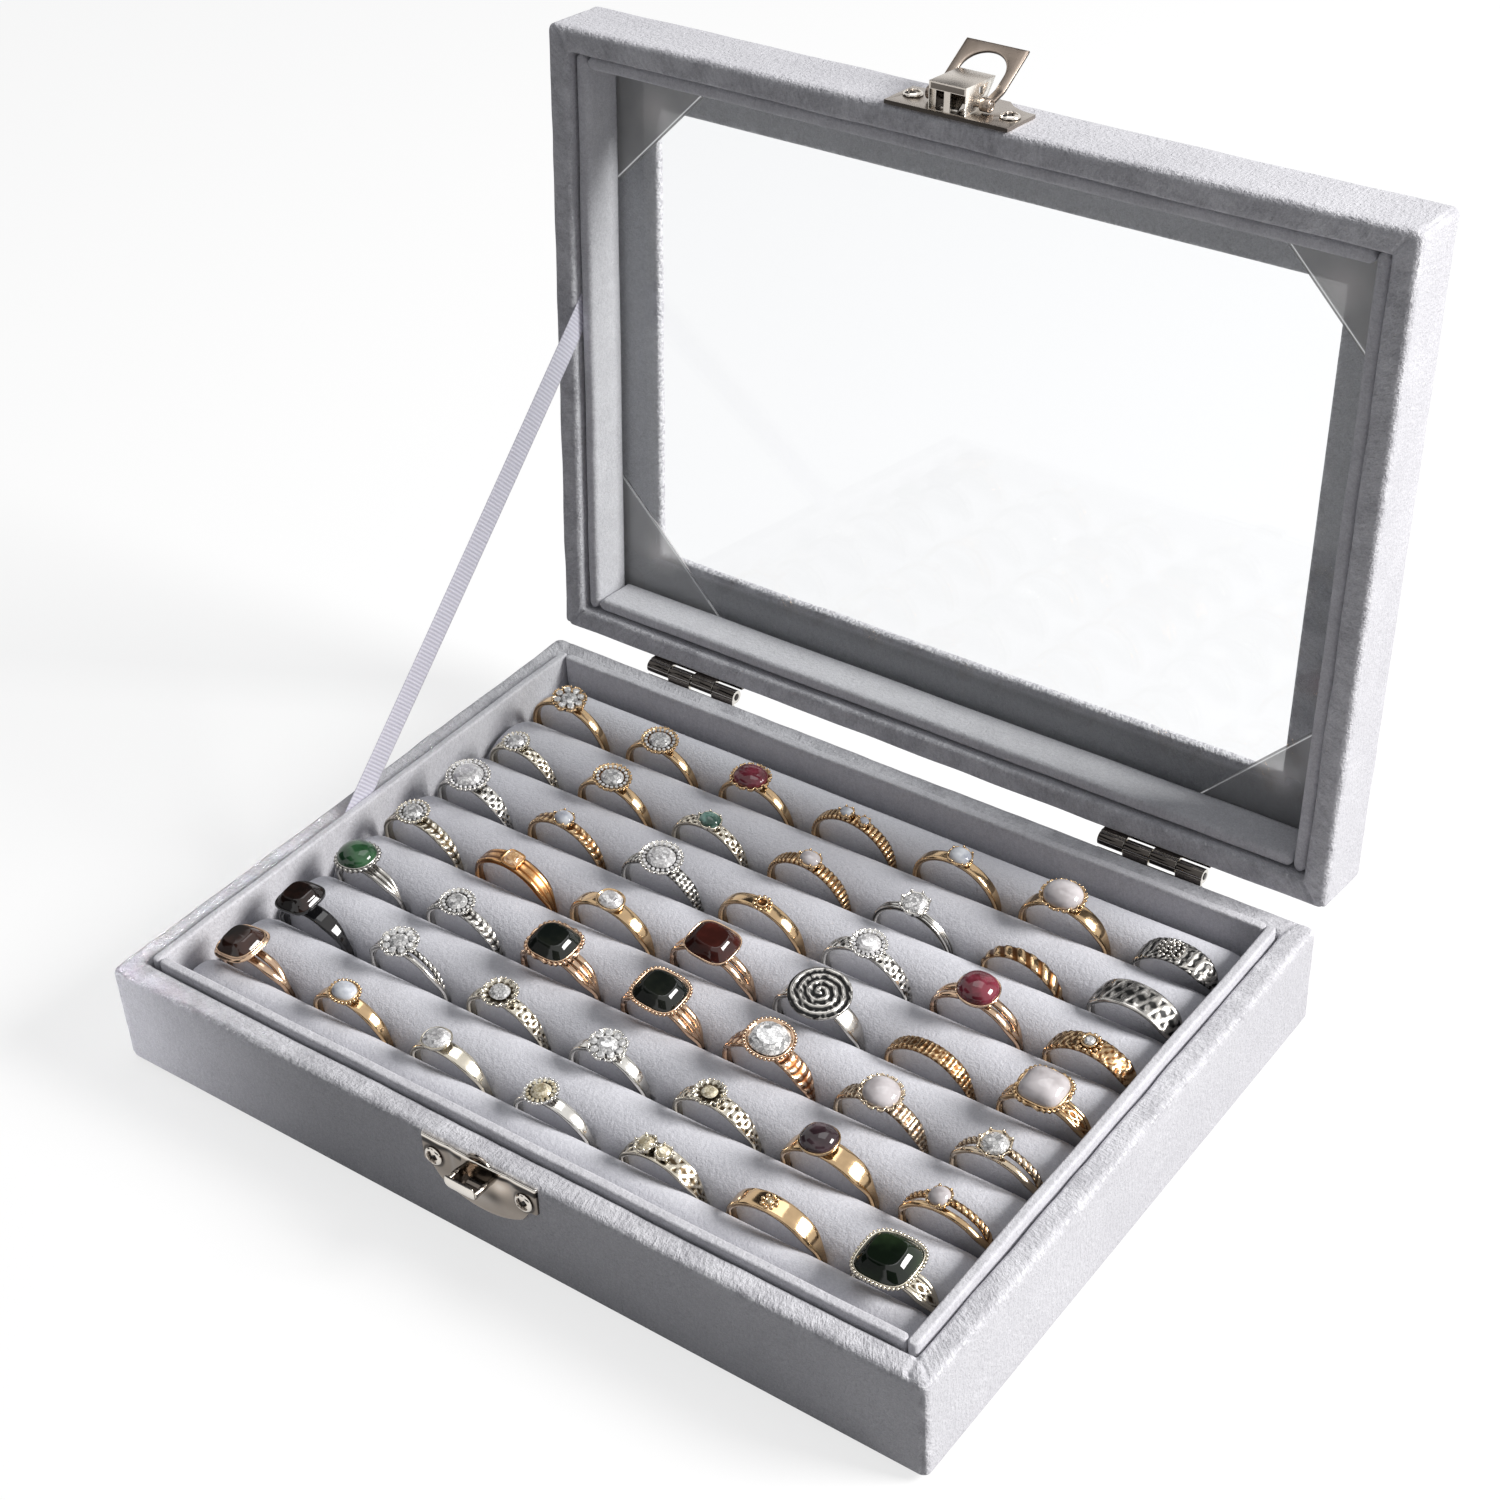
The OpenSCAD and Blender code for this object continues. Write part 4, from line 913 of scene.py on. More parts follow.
def carried(ring, normal, profile):
    """A profile carried round an outline: each of its points has a share of the outline, an
    offset along the normal and a height."""
    share, off, z = np.array(profile, float).T
    flat = ring[:, None] * share[:, None] + normal[:, None] * off[:, None]
    return np.concatenate([flat, np.broadcast_to(z[:, None], (*flat.shape[:2], 1))], -1)


def balls(centres, r, tall=1.0, n=7, m=5):
    """Small balls or drops as closed grids, one for each centre."""
    a = whole_turn(n)[:, None]
    b = np.linspace(0.02, np.pi - 0.02, m)[None, :]
    one = np.stack(np.broadcast_arrays(np.cos(a) * np.sin(b), np.sin(a) * np.sin(b), tall * np.cos(b)), -1)
    r = np.broadcast_to(np.atleast_1d(r), len(centres))
    return np.asarray(centres)[:, None, None] + one[None] * r[:, None, None, None]


def spaced(ring, pitch):
    """Places at an even pitch round a closed outline."""
    loop = np.vstack([ring, ring[:1]])
    length = np.concatenate([[0], np.cumsum(np.linalg.norm(np.diff(loop, axis=0), axis=1))])
    at = np.linspace(0, length[-1], max(6, int(round(length[-1] / pitch))), endpoint=False)
    return np.stack([np.interp(at, length, loop[:, k]) for k in (0, 1)], -1)


def level_with(flat, z):
    """Flat places at one height."""
    return np.column_stack([flat, np.full(len(flat), float(z))])


def gem(a, b, e, z, rise, cut, n=16):
    """A stone as rings of its outline: stepped and half-turned for facets, a bevelled flat top
    for a buff-topped cushion, and a quarter circle for a cabochon."""
    if cut == "facets":
        share, high = np.array([
            (0.01, -0.5), (0.6, -0.4), (1, -0.05), (1, 0.08),
            (0.84, 0.6), (0.6, 1.0), (0.3, 1.02), (0.01, 1.02),
        ]).T
        half, _ = outline(a, b, e, 2 * n)
        turned_row = (np.arange(len(share)) % 2)[None, :, None]
        plan = np.where(turned_row, half[1::2][:, None], half[::2][:, None]) * share[None, :, None]
        level = np.broadcast_to((z + rise * high)[None, :, None], (*plan.shape[:2], 1))
        return np.concatenate([plan, level], -1)
    if cut == "buff":
        q = np.radians(np.linspace(56, 34, 6))
        way = np.cumsum(np.column_stack([np.cos(q), np.sin(q) * a / rise]), 0) * 0.27 / np.cos(q).sum()
        bevel = [(0.86 - x, 1 - way[-1, 1] + y) for x, y in np.vstack([[0, 0], way])]
        rows = [
            (0.01, -0.3), (1, -0.3), (1, 0.02), (0.985, 0.1), *bevel, (0.56, 1.0), (0.3, 1.0), (0.01, 1.0),
        ]
    else:
        q = np.linspace(0, np.pi / 2, 9)
        rows = [(0.01, -0.3), (1, -0.3), *zip(np.cos(q) * 0.99 + 0.01, np.sin(q) ** 0.9)]
    ring, normal = outline(a, b, e, 72 if cut == "buff" else 40)
    return carried(ring, normal, [(share, 0, z + rise * high) for share, high in rows])


def head(kind, size, l, w, up, square):
    """The setting: a basket carried up from the shank to a rim round the stone, and what the
    kind adds to the rim: beads, a twisted wire, lobes, a second step or claws."""
    waves = {"lobed": (12, 0.7), "halo": (18, 0.35), "cluster": (8, 0.9), "claws": (8, 0.25)}
    lobes, lobe = waves.get(kind, (0, 0))
    a, b = (v / 2 - 0.45 * (kind in ("beaded", "rope")) for v in (l, w))
    ring, normal = outline(a, b, square, 96 if lobes else 48, lobes, lobe)
    top, low = size + up, size - 1.0
    profile = [
        (0.01, 0, low), (0.42, 0, low), (0.5, 0, size - 0.35), (0.7, 0, size + 0.25 * up),
        (0.93, 0, top - 0.75), (0.98, 0, top - 0.6), (0.985, 0.02, top - 0.15), (1, 0, top + 0.02),
        (1, -0.12, top + 0.14), (1, -0.3, top + 0.12), (1, -0.42, top - 0.1),
        (0.7, 0, top - 0.3), (0.01, 0, top - 0.3),
    ]
    if kind == "step":
        profile[5:7] = [
            (1, 0.45, top - 1.0), (1, 0.62, top - 0.85), (1, 0.5, top - 0.68), (1, 0.1, top - 0.62),
            (0.985, 0.02, top - 0.2),
        ]
    valley = np.ones(len(ring))
    if lobes:
        valley = eased(np.abs(np.cos(lobes * whole_turn(len(ring)) / 2)) * 1.7 - 0.15)
    # Depth: painted shade on the basket's sides below the rim, deepest low down and in the lobes' valleys,
    # and under the stone.
    depth = np.ones((len(ring), len(profile)))
    depth[:, 2:7] = np.minimum(1, (valley * 0.9 + 0.1)[:, None] * np.array([0.45, 0.6, 0.8, 0.9, 1.0]))
    depth[:, -2:] = 0.25
    parts = [(carried(ring, normal, profile), depth)]
    if kind == "beaded":
        parts.append((balls(level_with(spaced(ring + normal * 0.2, 0.82), top - 0.2), 0.4), None))
        parts.append((balls(level_with(spaced(ring * 0.9 + normal * 0.1, 1.3), top - 0.95), 0.34), None))
    if kind == "rope":
        path, way = outline(l / 2, w / 2, square, 180)
        f = whole_turn(9)[None, :]
        fat = 0.4 + 0.13 * np.cos(26 * whole_turn(180)[:, None] + f)
        path = path * [a / (l / 2), b / (w / 2)]
        flat = path[:, None] + way[:, None] * (0.2 + fat * np.cos(f))[..., None]
        twisted = np.concatenate([flat, (top - 0.42 + fat * np.sin(f))[..., None]], -1)
        # The twisted wire is darker where it is thinner, between its twists: painted shade.
        parts.append((twisted, 0.35 + 0.65 * (fat - 0.27) / 0.26))
    if kind == "claws":
        parts.append((balls(level_with(spaced(ring * 0.97, 2.6), top + 0.1), 0.36, 1.7), None))
    if kind in ("halo", "cluster", "lobed"):
        path, way = outline(a, b, square)
        beads = spaced(path + way * (0.12 if kind == "halo" else 0.3), 1.0)
        parts.append((balls(level_with(beads, top - 0.1), 0.27, 1.2), None))
    return parts


def jeweller_metal(name, colour, dark, rough):
    """Cast and polished metal. Where the attribute depth is low it is dark and rougher, and where
    it is high bright; fine rubbing marks vary its gloss. On the oxidised metal the dark is the
    patina of its hollows, on the others painted shade."""
    material, shader, s = surface(name, Metallic=1.0)
    place = s.node("TexCoord", out="Object")
    deep = s.node("Attribute", {"attribute_name": "depth"}, out="Fac")
    rub = s.noise(place, 1400.0, 3.0, 0.6)
    cast = s.noise(place, 420.0, 2.0)
    # Where the depth is low the colour goes dark: painted shade, except on the oxidised metal, where it is
    # patina.
    shine = s.math("MULTIPLY", (deep - 0.24) * 1.7, rub * 0.5 + 0.75, clamp=True)
    bright = s.mix(cast.step(0.3, 0.7), tuple(0.86 * c for c in colour), colour)
    s.put(shader.inputs["Base Color"], s.mix(shine, dark, bright))
    worn = rub * 0.16 + (1 - shine) * 0.25
    s.put(shader.inputs["Roughness"], s.math("ADD", worn, rough - 0.08, clamp=True))
    s.bump(shader, 0.12, 0.00005, rub)
    return material


metals = {}
# The fourth column is the colour where the depth is low: painted shade, except on the oxidised metal, where
# it is the black patina of its hollows.
for metal, name, colour, dark, rough, slot in (
    ("gold", "yellow_gold", (0.57, 0.4, 0.23), (0.1, 0.042, 0.014), 0.12, "gold"),
    ("pale", "pale_gold", (0.61, 0.505, 0.375), (0.1, 0.06, 0.035), 0.15, "gold"),
    ("orange", "orange_gold", (0.57, 0.32, 0.14), (0.13, 0.045, 0.012), 0.16, "gold"),
    ("rose", "rose_gold_metal", (0.6, 0.42, 0.29), (0.13, 0.045, 0.016), 0.12, "rose_gold"),
    ("silver", "white_silver", (0.69, 0.67, 0.63), (0.03, 0.028, 0.026), 0.14, "silver"),
    ("warm", "warm_silver", (0.66, 0.61, 0.51), (0.045, 0.032, 0.018), 0.15, "silver"),
    ("black", "oxidised_metal", (0.52, 0.5, 0.47), (0.02, 0.02, 0.02), 0.2, "oxidised_silver"),
):
    node = "oxidised_rings" if metal == "black" else f"{slot}_rings"
    metals[metal] = jeweller_metal(name, colour, dark, rough), slot, node


def vitreous(name, dark, light, scale, **constants):
    """Polished stone or enamel: two tones in a soft cloud under a clear surface, whose gloss is
    the attribute depth. On a buff-topped stone the coat is thin on all but its right part, so that
    only that part shows a reflection, and on the enamel band it follows the band's painted
    shade: both are painted shade."""
    material, shader, s = surface(name, Specular_IOR_Level=0.0, Coat_Roughness=0.02, **constants)
    place = s.node("TexCoord", out="Object")
    s.put(shader.inputs["Coat Weight"], s.node("Attribute", {"attribute_name": "depth"}, out="Fac"))
    cloud = s.noise(place, scale, 3.0, 0.55)
    s.put(shader.inputs["Base Color"], s.mix(cloud.step(0.38, 0.64), dark, light))
    fine = s.noise(place, 2600.0, 1.0)
    s.put(shader.inputs["Roughness"], fine * 0.06 + 0.04)
    return material


def brilliant(name, dark, light):
    """Faceted stone with painted reflections: many small cells, each of its own tone, stand for
    its facets' inner reflections. Most are bright, some are dark, and their seams are darker."""
    material, shader, s = surface(
        name, Metallic=0.2, Coat_Weight=1.0, Coat_Roughness=0.02, Specular_IOR_Level=0.8
    )
    place = s.node("TexCoord", out="Object")
    facets = {"Vector": place, "Scale": 1300.0, "Randomness": 1.0}
    tone = s.node("SeparateColor", values={"Color": s.node("TexVoronoi", values=facets, out="Color")})
    seam = s.node("TexVoronoi", {"feature": "DISTANCE_TO_EDGE"}, values=facets, out="Distance")
    cloud = s.noise(place, 500.0, 2.0)
    body = s.math("ADD", tone * 0.8 + cloud * 0.5, 0.02, clamp=True)
    bright = s.math("MULTIPLY", body, seam.step(0.0, 0.14) * 0.6 + 0.4, clamp=True)
    s.put(shader.inputs["Base Color"], s.mix(bright, dark, light))
    s.put(shader.inputs["Roughness"], tone * 0.14 + 0.03)
    s.bump(shader, 0.6, 0.0003, tone)
    return material


ring_enamel = vitreous("black_ring_enamel", (0.006, 0.006, 0.007), (0.014, 0.013, 0.013), 300.0)
metals["enamel"] = ring_enamel, "black_enamel", "enamel_ring"
stones = {}
for stone, cut, slot, name, dark, light, *scale in (
    ("clear", "facets", "clear_stone", "white_brilliant", (0.1, 0.1, 0.105), (0.96, 0.95, 0.94)),
    ("milky", "facets", "clear_stone", "milky_brilliant", (0.3, 0.29, 0.3), (0.92, 0.91, 0.91)),
    ("moon", "dome", "moonstone", "moonstone_milk", (0.43, 0.395, 0.4), (0.61, 0.57, 0.58), 170.0),
    ("blue", "dome", "moonstone", "moonstone_blue", (0.38, 0.4, 0.46), (0.66, 0.68, 0.72), 260.0),
    ("onyx", "buff", "dark_stone", "dark_onyx", (0.006, 0.008, 0.007), (0.014, 0.016, 0.012), 120.0),
    ("brown", "buff", "dark_stone", "dark_sard", (0.01, 0.007, 0.006), (0.04, 0.017, 0.012), 110.0),
    ("plum", "dome", "dark_stone", "dark_plum", (0.03, 0.016, 0.02), (0.085, 0.05, 0.06), 190.0),
    ("moss", "buff", "dark_stone", "dark_moss", (0.005, 0.009, 0.005), (0.02, 0.036, 0.016), 100.0),
    ("ruby", "dome", "red_stone", "ruby_red", (0.1, 0.012, 0.02), (0.21, 0.032, 0.052), 260.0),
    ("garnet", "buff", "red_stone", "garnet_red", (0.034, 0.009, 0.007), (0.07, 0.016, 0.012), 130.0),
    ("green", "dome", "green_stone", "deep_green", (0.01, 0.045, 0.016), (0.04, 0.12, 0.05), 210.0),
    ("teal", "dome", "green_stone", "pale_teal", (0.03, 0.08, 0.06), (0.22, 0.38, 0.33), 380.0),
    ("citrine", "facets", "amber_stone", "citrine_yellow", (0.42, 0.17, 0.05), (0.95, 0.66, 0.36)),
    ("honey", "facets", "amber_stone", "honey_yellow", (0.3, 0.22, 0.1), (0.93, 0.86, 0.66)),
):
    material = (brilliant if cut == "facets" else vitreous)(name, dark, light, *scale)
    stones[stone] = material, cut, slot, f"{slot}s"

# A shank's strands: share of its width, of its thickness, work, place across it, section's power.
strands = {
    "triple": [(0.34, 1, "plain", at, 0.9) for at in (-0.36, 0, 0.36)],
    "split": [(0.5, 1, "plain", at, 0.9) for at in (-0.3, 0.3)],
    "twin": [(0.36, 1, "plain", -0.32, 0.9), (0.42, 1, "rope", 0.3, 0.9)],
    "lattice": [(0.26, 1, "plain", -0.4, 0.9), (0.26, 1, "plain", 0.4, 0.9), (0.6, 0.8, "woven", 0, 0.8)],
    "flat": [(1, 1, "plain", 0, 0.45)],
}


def rolled(points, angle):
    """Points turned about y: x cos + z sin, and z cos - x sin."""
    c, q = math.cos(angle), math.sin(angle)
    x, y, z = np.moveaxis(points, -1, 0)
    return np.stack([x * c + z * q, y, z * c - x * q], -1)


def stood(cloth, turn, place):
    """What was drawn round a ring's centre, turned in its slot and leaned to the front: y is
    lowered by the lean times the height over the pivot."""
    for k, p in enumerate(cloth.points):
        p = rolled(p, turn)
        high = p[:, 2] + place[2] - pivot_z
        p[:, 1] -= ring_lean * high
        p[:, 2] += ring_lean * p[:, 1] * eased(high / 6)
        cloth.points[k] = p + place
    return cloth


# One ring to a line, row by row from the back left, in millimetres: metal; shank and its width;
# head and its length, width and height; stone and its length and width; outer radius; and its
# turn in the slot in degrees.
catalogue = """
gold   plain    2.3  cluster  7.4  7.0 1.9  clear   4.0 3.8  10.8   9
gold   plain    2.2  halo     8.2  7.6 1.9  clear   5.2 4.7   9.9   7
gold   plain    2.3  lobed    8.6  7.4 1.7  ruby    5.8 5.0   9.9   1
gold   ribbed   2.6  duo      3.4  3.0 0.8  blue    3.0 2.6  10.8   9
gold   plain    2.4  claws    5.4  4.8 1.3  blue    4.8 4.2  10.8   9
gold   plain    3.4  lobed    9.2  8.0 1.8  moon    8.0 6.9  10.8   2
black  nugget   5.6  crown    3.0  3.0 1.2  none      0   0  10.2  -6

warm   scroll   2.6  halo     6.2  5.8 1.3  milky   4.2 3.9   9.7  -1
gold   plain    2.6  halo     8.6  7.6 1.9  clear   5.4 4.8  10.1   7
warm   scroll   2.7  claws    5.4  4.6 1.2  teal    4.8 4.0  10.0   9
gold   ribbed   2.8  claws    5.2  4.2 1.1  moon    4.6 3.7  10.5   9
silver grooved  2.0  claws    6.0  6.0 2.1  clear   5.4 5.4   9.8   8
gold   twisted  2.9  none       0    0 0    none      0   0   9.7   4
black  woven    6.2  none       0    0 0    none      0   0  10.8   3

silver scroll   3.4  halo     9.8  9.2 2.0  milky   7.2 6.8  10.3   4
gold   leaf     2.6  claws    4.8  4.2 1.0  blue    4.3 3.7  10.4   8
silver pave     3.0  halo     9.2  8.8 1.6  milky   6.4 6.0  10.5   9
gold   plain    2.8  knot     2.6  2.6 0.4  none      0   0  10.8   9
silver scroll   3.2  halo     7.4  7.2 1.8  milky   5.2 5.0  10.8   9
rose   split    3.8  bezel    7.8  7.4 1.8  ruby    7.0 6.6  10.8   7
gold   nugget   4.4  knot     3.4  3.4 0.7  clear   2.3 2.3  10.8   1

warm   leaf     3.0  halo     7.2  6.8 1.5  clear   4.8 4.4  10.8   0
orange grooved  4.0  square   4.6  4.4 0.6  citrine 3.7 3.5  10.8   9
gold   plain    3.2  bezel    5.6  4.8 1.1  milky   4.6 3.8  10.8   9
rose   split    3.6  bezel    9.6  8.4 1.8  garnet  8.6 7.4  10.8   9
black  plain    4.0  disc    13.0 13.0 1.0  none      0   0  10.8   9
gold   pave     3.2  none       0    0 0    none      0   0  10.3   4
gold   lattice  3.8  rope     9.4  8.4 1.8  moon    7.8 6.8  10.8   2

black  triple   3.2  rope     9.0  7.8 1.8  green   7.8 6.6   9.8  -5
silver leaf     2.8  halo     7.4  7.0 1.6  clear   4.6 4.3  10.0   4
rose   triple   4.4  rope     9.8  8.8 1.9  onyx    8.6 7.5  10.4   4
rose   triple   4.4  beaded  10.2  9.2 1.9  onyx    8.7 7.7  10.4   8
rose   leaf     4.2  beaded   9.2  8.6 1.8  clear   7.2 6.6  10.8   9
pale   pave     3.4  lobed    8.0  7.6 1.5  moon    5.8 5.4  10.6   7
pale   twin     4.2  claws    6.4  6.2 1.6  clear   5.4 5.2  10.6   1

enamel plain    3.4  bezel    8.8  7.9 2.0  brown   7.8 6.9   9.7  -7
silver twin     2.8  cluster  7.4  7.2 1.6  clear   4.2 4.0  10.6   2
warm   scroll   3.0  lobed    6.8  6.6 1.4  clear   4.4 4.1  10.2   3
silver plain    2.8  cluster  7.2  7.0 1.7  clear   4.6 4.3   9.8   8
warm   scroll   3.4  lobed    6.0  5.4 1.2  honey   3.4 3.0  10.2   0
gold   plain    4.2  bezel    7.2  6.4 1.4  plum    6.5 5.7  10.8  -4
gold   twin     4.0  claws    4.8  4.8 1.4  moon    4.2 4.2  10.8  -4

rose   split    3.6  step     8.6  7.8 2.0  brown   7.7 6.9   9.7  -9
gold   plain    2.6  beaded   6.2  5.2 1.4  blue    4.4 3.6  10.2   4
warm   plain    3.2  bezel    6.0  5.0 1.3  milky   5.4 4.4  10.0  -6
silver plain    2.6  halo     7.0  6.4 1.4  honey   4.6 4.0   9.8  -6
warm   woven    3.8  duo      4.4  4.2 1.0  honey   3.6 3.4  10.0   0
gold   flat     4.2  knot     1.9  1.9 0.2  honey   1.1 1.1  10.8   0
warm   lattice  4.4  beaded  11.2 10.2 2.1  moss    9.6 8.6   9.9  -2
"""
thick = 1.25
for number, line in enumerate(filter(None, catalogue.splitlines())):
    metal, shank, width, kind, l, w, up, stone, stone_l, stone_w, size, turn = line.split()
    width, l, w, up, stone_l, stone_w = (float(v) for v in (width, l, w, up, stone_l, stone_w))
    size, turn = float(size), math.radians(float(turn))
    row, column = divmod(number, 7)
    framed = kind in ("bezel", "rope", "beaded", "step")
    if framed:
        l, w, up, stone_l, stone_w = 1.14 * l, 1.18 * w, 1.12 * up, 1.16 * stone_l, 1.2 * stone_w
    made, jewels = Cloth(), Cloth()
    for share, fat, work, at, square in strands.get(shank, [(1.12, 1, shank, 0, 0.6)]):
        points, depth = strand(size, width * share, thick * fat, work, width * at, square)
        made.add(points, close_rows=True, close_columns=True, depth=depth, solid=True)
    form = {"square": 0.5, "disc": 1.0, "halo": 1.0, "cluster": 1.0}.get(kind, 0.9)
    if framed and stone in ("onyx", "brown", "garnet", "moss", "moon"):
        form = 0.62
    top = size + up
    if kind == "disc":
        ring, normal = outline(l / 2, w / 2, 1.0, 72)
        share = np.linspace(1, 0.01, 46)
        under = [(0.01, size - 1), (0.3, size - 1), (0.55, size - 0.2), (0.96, top - 0.9), (1, top - 0.6)]
        profile = [(p, 0, z) for p, z in under + [(p, top + 0.35 * (1 - p * p)) for p in share]]
        disc = carried(ring, normal, profile)
        worn = ripple(disc, 0.9, 91)[:, 5:]
        wind = np.linspace(0, 1, 72, endpoint=False)[:, None]
        ribs = 0.5 + 0.5 * np.cos(2 * np.pi * (share[None, :] * 4 + wind + 0.08 * worn))
        disc[:, 5:, 2] += 0.34 * (ribs - 0.5) + 0.1 * worn
        depth = np.concatenate([np.full((72, 5), 0.7), np.clip(ribs * 1.1 - 0.1 + 0.5 * worn, 0, 1)], 1)
        made.add(disc, close_rows=True, depth=depth, solid=True)
    elif kind == "crown":
        for r, z, pitch in ((2.6, 0.1, 1.1), (1.7, 0.55, 0.9), (0.8, 0.95, 0.8)):
            centres = level_with(spaced(outline(r, r * 0.9, 1.0)[0], pitch), size + z)
            made.add(balls(centres, 0.42, 0.9), close_rows=True, solid=True)
        made.add(balls([[0, 0, size + 1.5]], 0.5, 1.4), close_rows=True, solid=True)
    elif kind != "none":
        setting = {"duo": "claws", "knot": "bezel", "square": "bezel"}.get(kind, kind)
        for at, scale in ((-0.21, 1), (0.19, 0.75)) if kind == "duo" else ((0, 1),):
            for points, depth in head(setting, size, l * scale, w * scale, up, form):
                made.add(rolled(points, at), close_rows=True, depth=depth, solid=True)
            if stone != "none":
                cut = stones[stone][1]
                rise = {"facets": 0.2, "buff": 0.25, "dome": 0.34}[cut] * min(stone_l, stone_w) * scale
                margin = 0.82 if kind in ("beaded", "rope") else 0.36
                fills = stone not in ("clear", "milky", "honey")
                a, b = (
                    max(jewel * scale / 2, (outer * scale / 2 - margin) * fills)
                    for jewel, outer in ((stone_l, l), (stone_w, w))
                )
                body = gem(a, b, form, top - 0.05, rise, cut)
                # Painted shade: a buff-topped stone's coat is thin on its left part, so that only its right
                # part shows a reflection.
                gloss = np.where((body[..., 0] < 0.3 * a) & (cut == "buff"), 0.25, 1.0)
                jewels.add(rolled(body, at), close_rows=True, depth=gloss, solid=True)
        if kind == "knot":
            beads = spaced(outline(l / 2 + 0.5, w / 2 + 0.4, 1.0)[0], 1.1)
            made.add(balls(level_with(beads, size + 0.05), 0.5, 0.8), close_rows=True, solid=True)
        if kind in ("halo", "cluster"):
            pitch, r = (1.05, 0.46) if kind == "halo" else (2.0, 0.95)
            reach = 0.5 * (1 + max(stone_l / l, stone_w / w))
            beads = spaced(outline(l / 2 * reach - 0.1, w / 2 * reach - 0.1, form)[0], pitch)
            jewels.add(balls(level_with(beads, top + 0.02), r, 0.62, 7, 4), close_rows=True, solid=True)
    place = np.array([ring_x[column], slot_y[row], slot_low + size])
    name = f"ring_row{row + 1}_{column + 1}"
    material, slot, node = metals[metal]
    dress(stood(made, turn, place).piece(f"{name}_band", material), "base", slot, node)
    if jewels.points:
        material, cut, slot, node = stones[stone]
        smooth = cut != "facets"
        dress(stood(jewels, turn, place).piece(f"{name}_stone", material, smooth), "base", slot, node)


# The catch and the clasp: pressed and bent sheet and small screws, nickel plated. The plating
# is warm, with painted highlights on some edges and painted shade where it lies deep.
def plating(name, bright, dull, rough):
    """Nickel plate: faint stains in its colour and gloss, fine rubbing marks, and a slight
    unevenness from the press. The attribute depth paints shade below 1, and above 1 a pale
    painted highlight."""
    material, shader, s = surface(name, Metallic=1.0)
    place = s.node("TexCoord", out="Object")
    deep = s.node("Attribute", {"attribute_name": "depth"}, out="Fac")
    stain = s.noise(place, 140.0, 3.0)
    marks = s.noise(place, 2400.0, 2.0)
    press = s.noise(place, 260.0, 1.0)
    plain = s.mix(stain.step(0.3, 0.7), dull, bright)
    # Above 1 the depth mixes in a pale painted highlight, and below 1 painted shade.
    plain = s.mix(s.math("SUBTRACT", deep, 1.0, clamp=True), plain, (0.93, 0.9, 0.84))
    deep = s.math("MULTIPLY", deep, 1.0, clamp=True)
    s.put(shader.inputs["Base Color"], s.mix(deep, (0.012, 0.01, 0.009), plain))
    s.put(shader.inputs["Roughness"], s.math("ADD", stain * 0.06 + marks * 0.08, rough - 0.07, clamp=True))
    s.bump(shader, 0.1, 0.0001, press * 0.8 + marks * 0.1)
    return material


nickel = plating("warm_nickel", (0.52, 0.455, 0.395), (0.44, 0.38, 0.325), 0.13)
base_y, sheet = box_d / 2, 0.8
catch_w, catch_top, catch_end_h, catch_mid_h = 28.6, 0.3, 6.2, 12.6
nose_w, nose_r, nose_z, nose_lip, screw_x, catch_screw_z = 7.4, 3.2, 22.4, 0.8, 11.2, 20.4


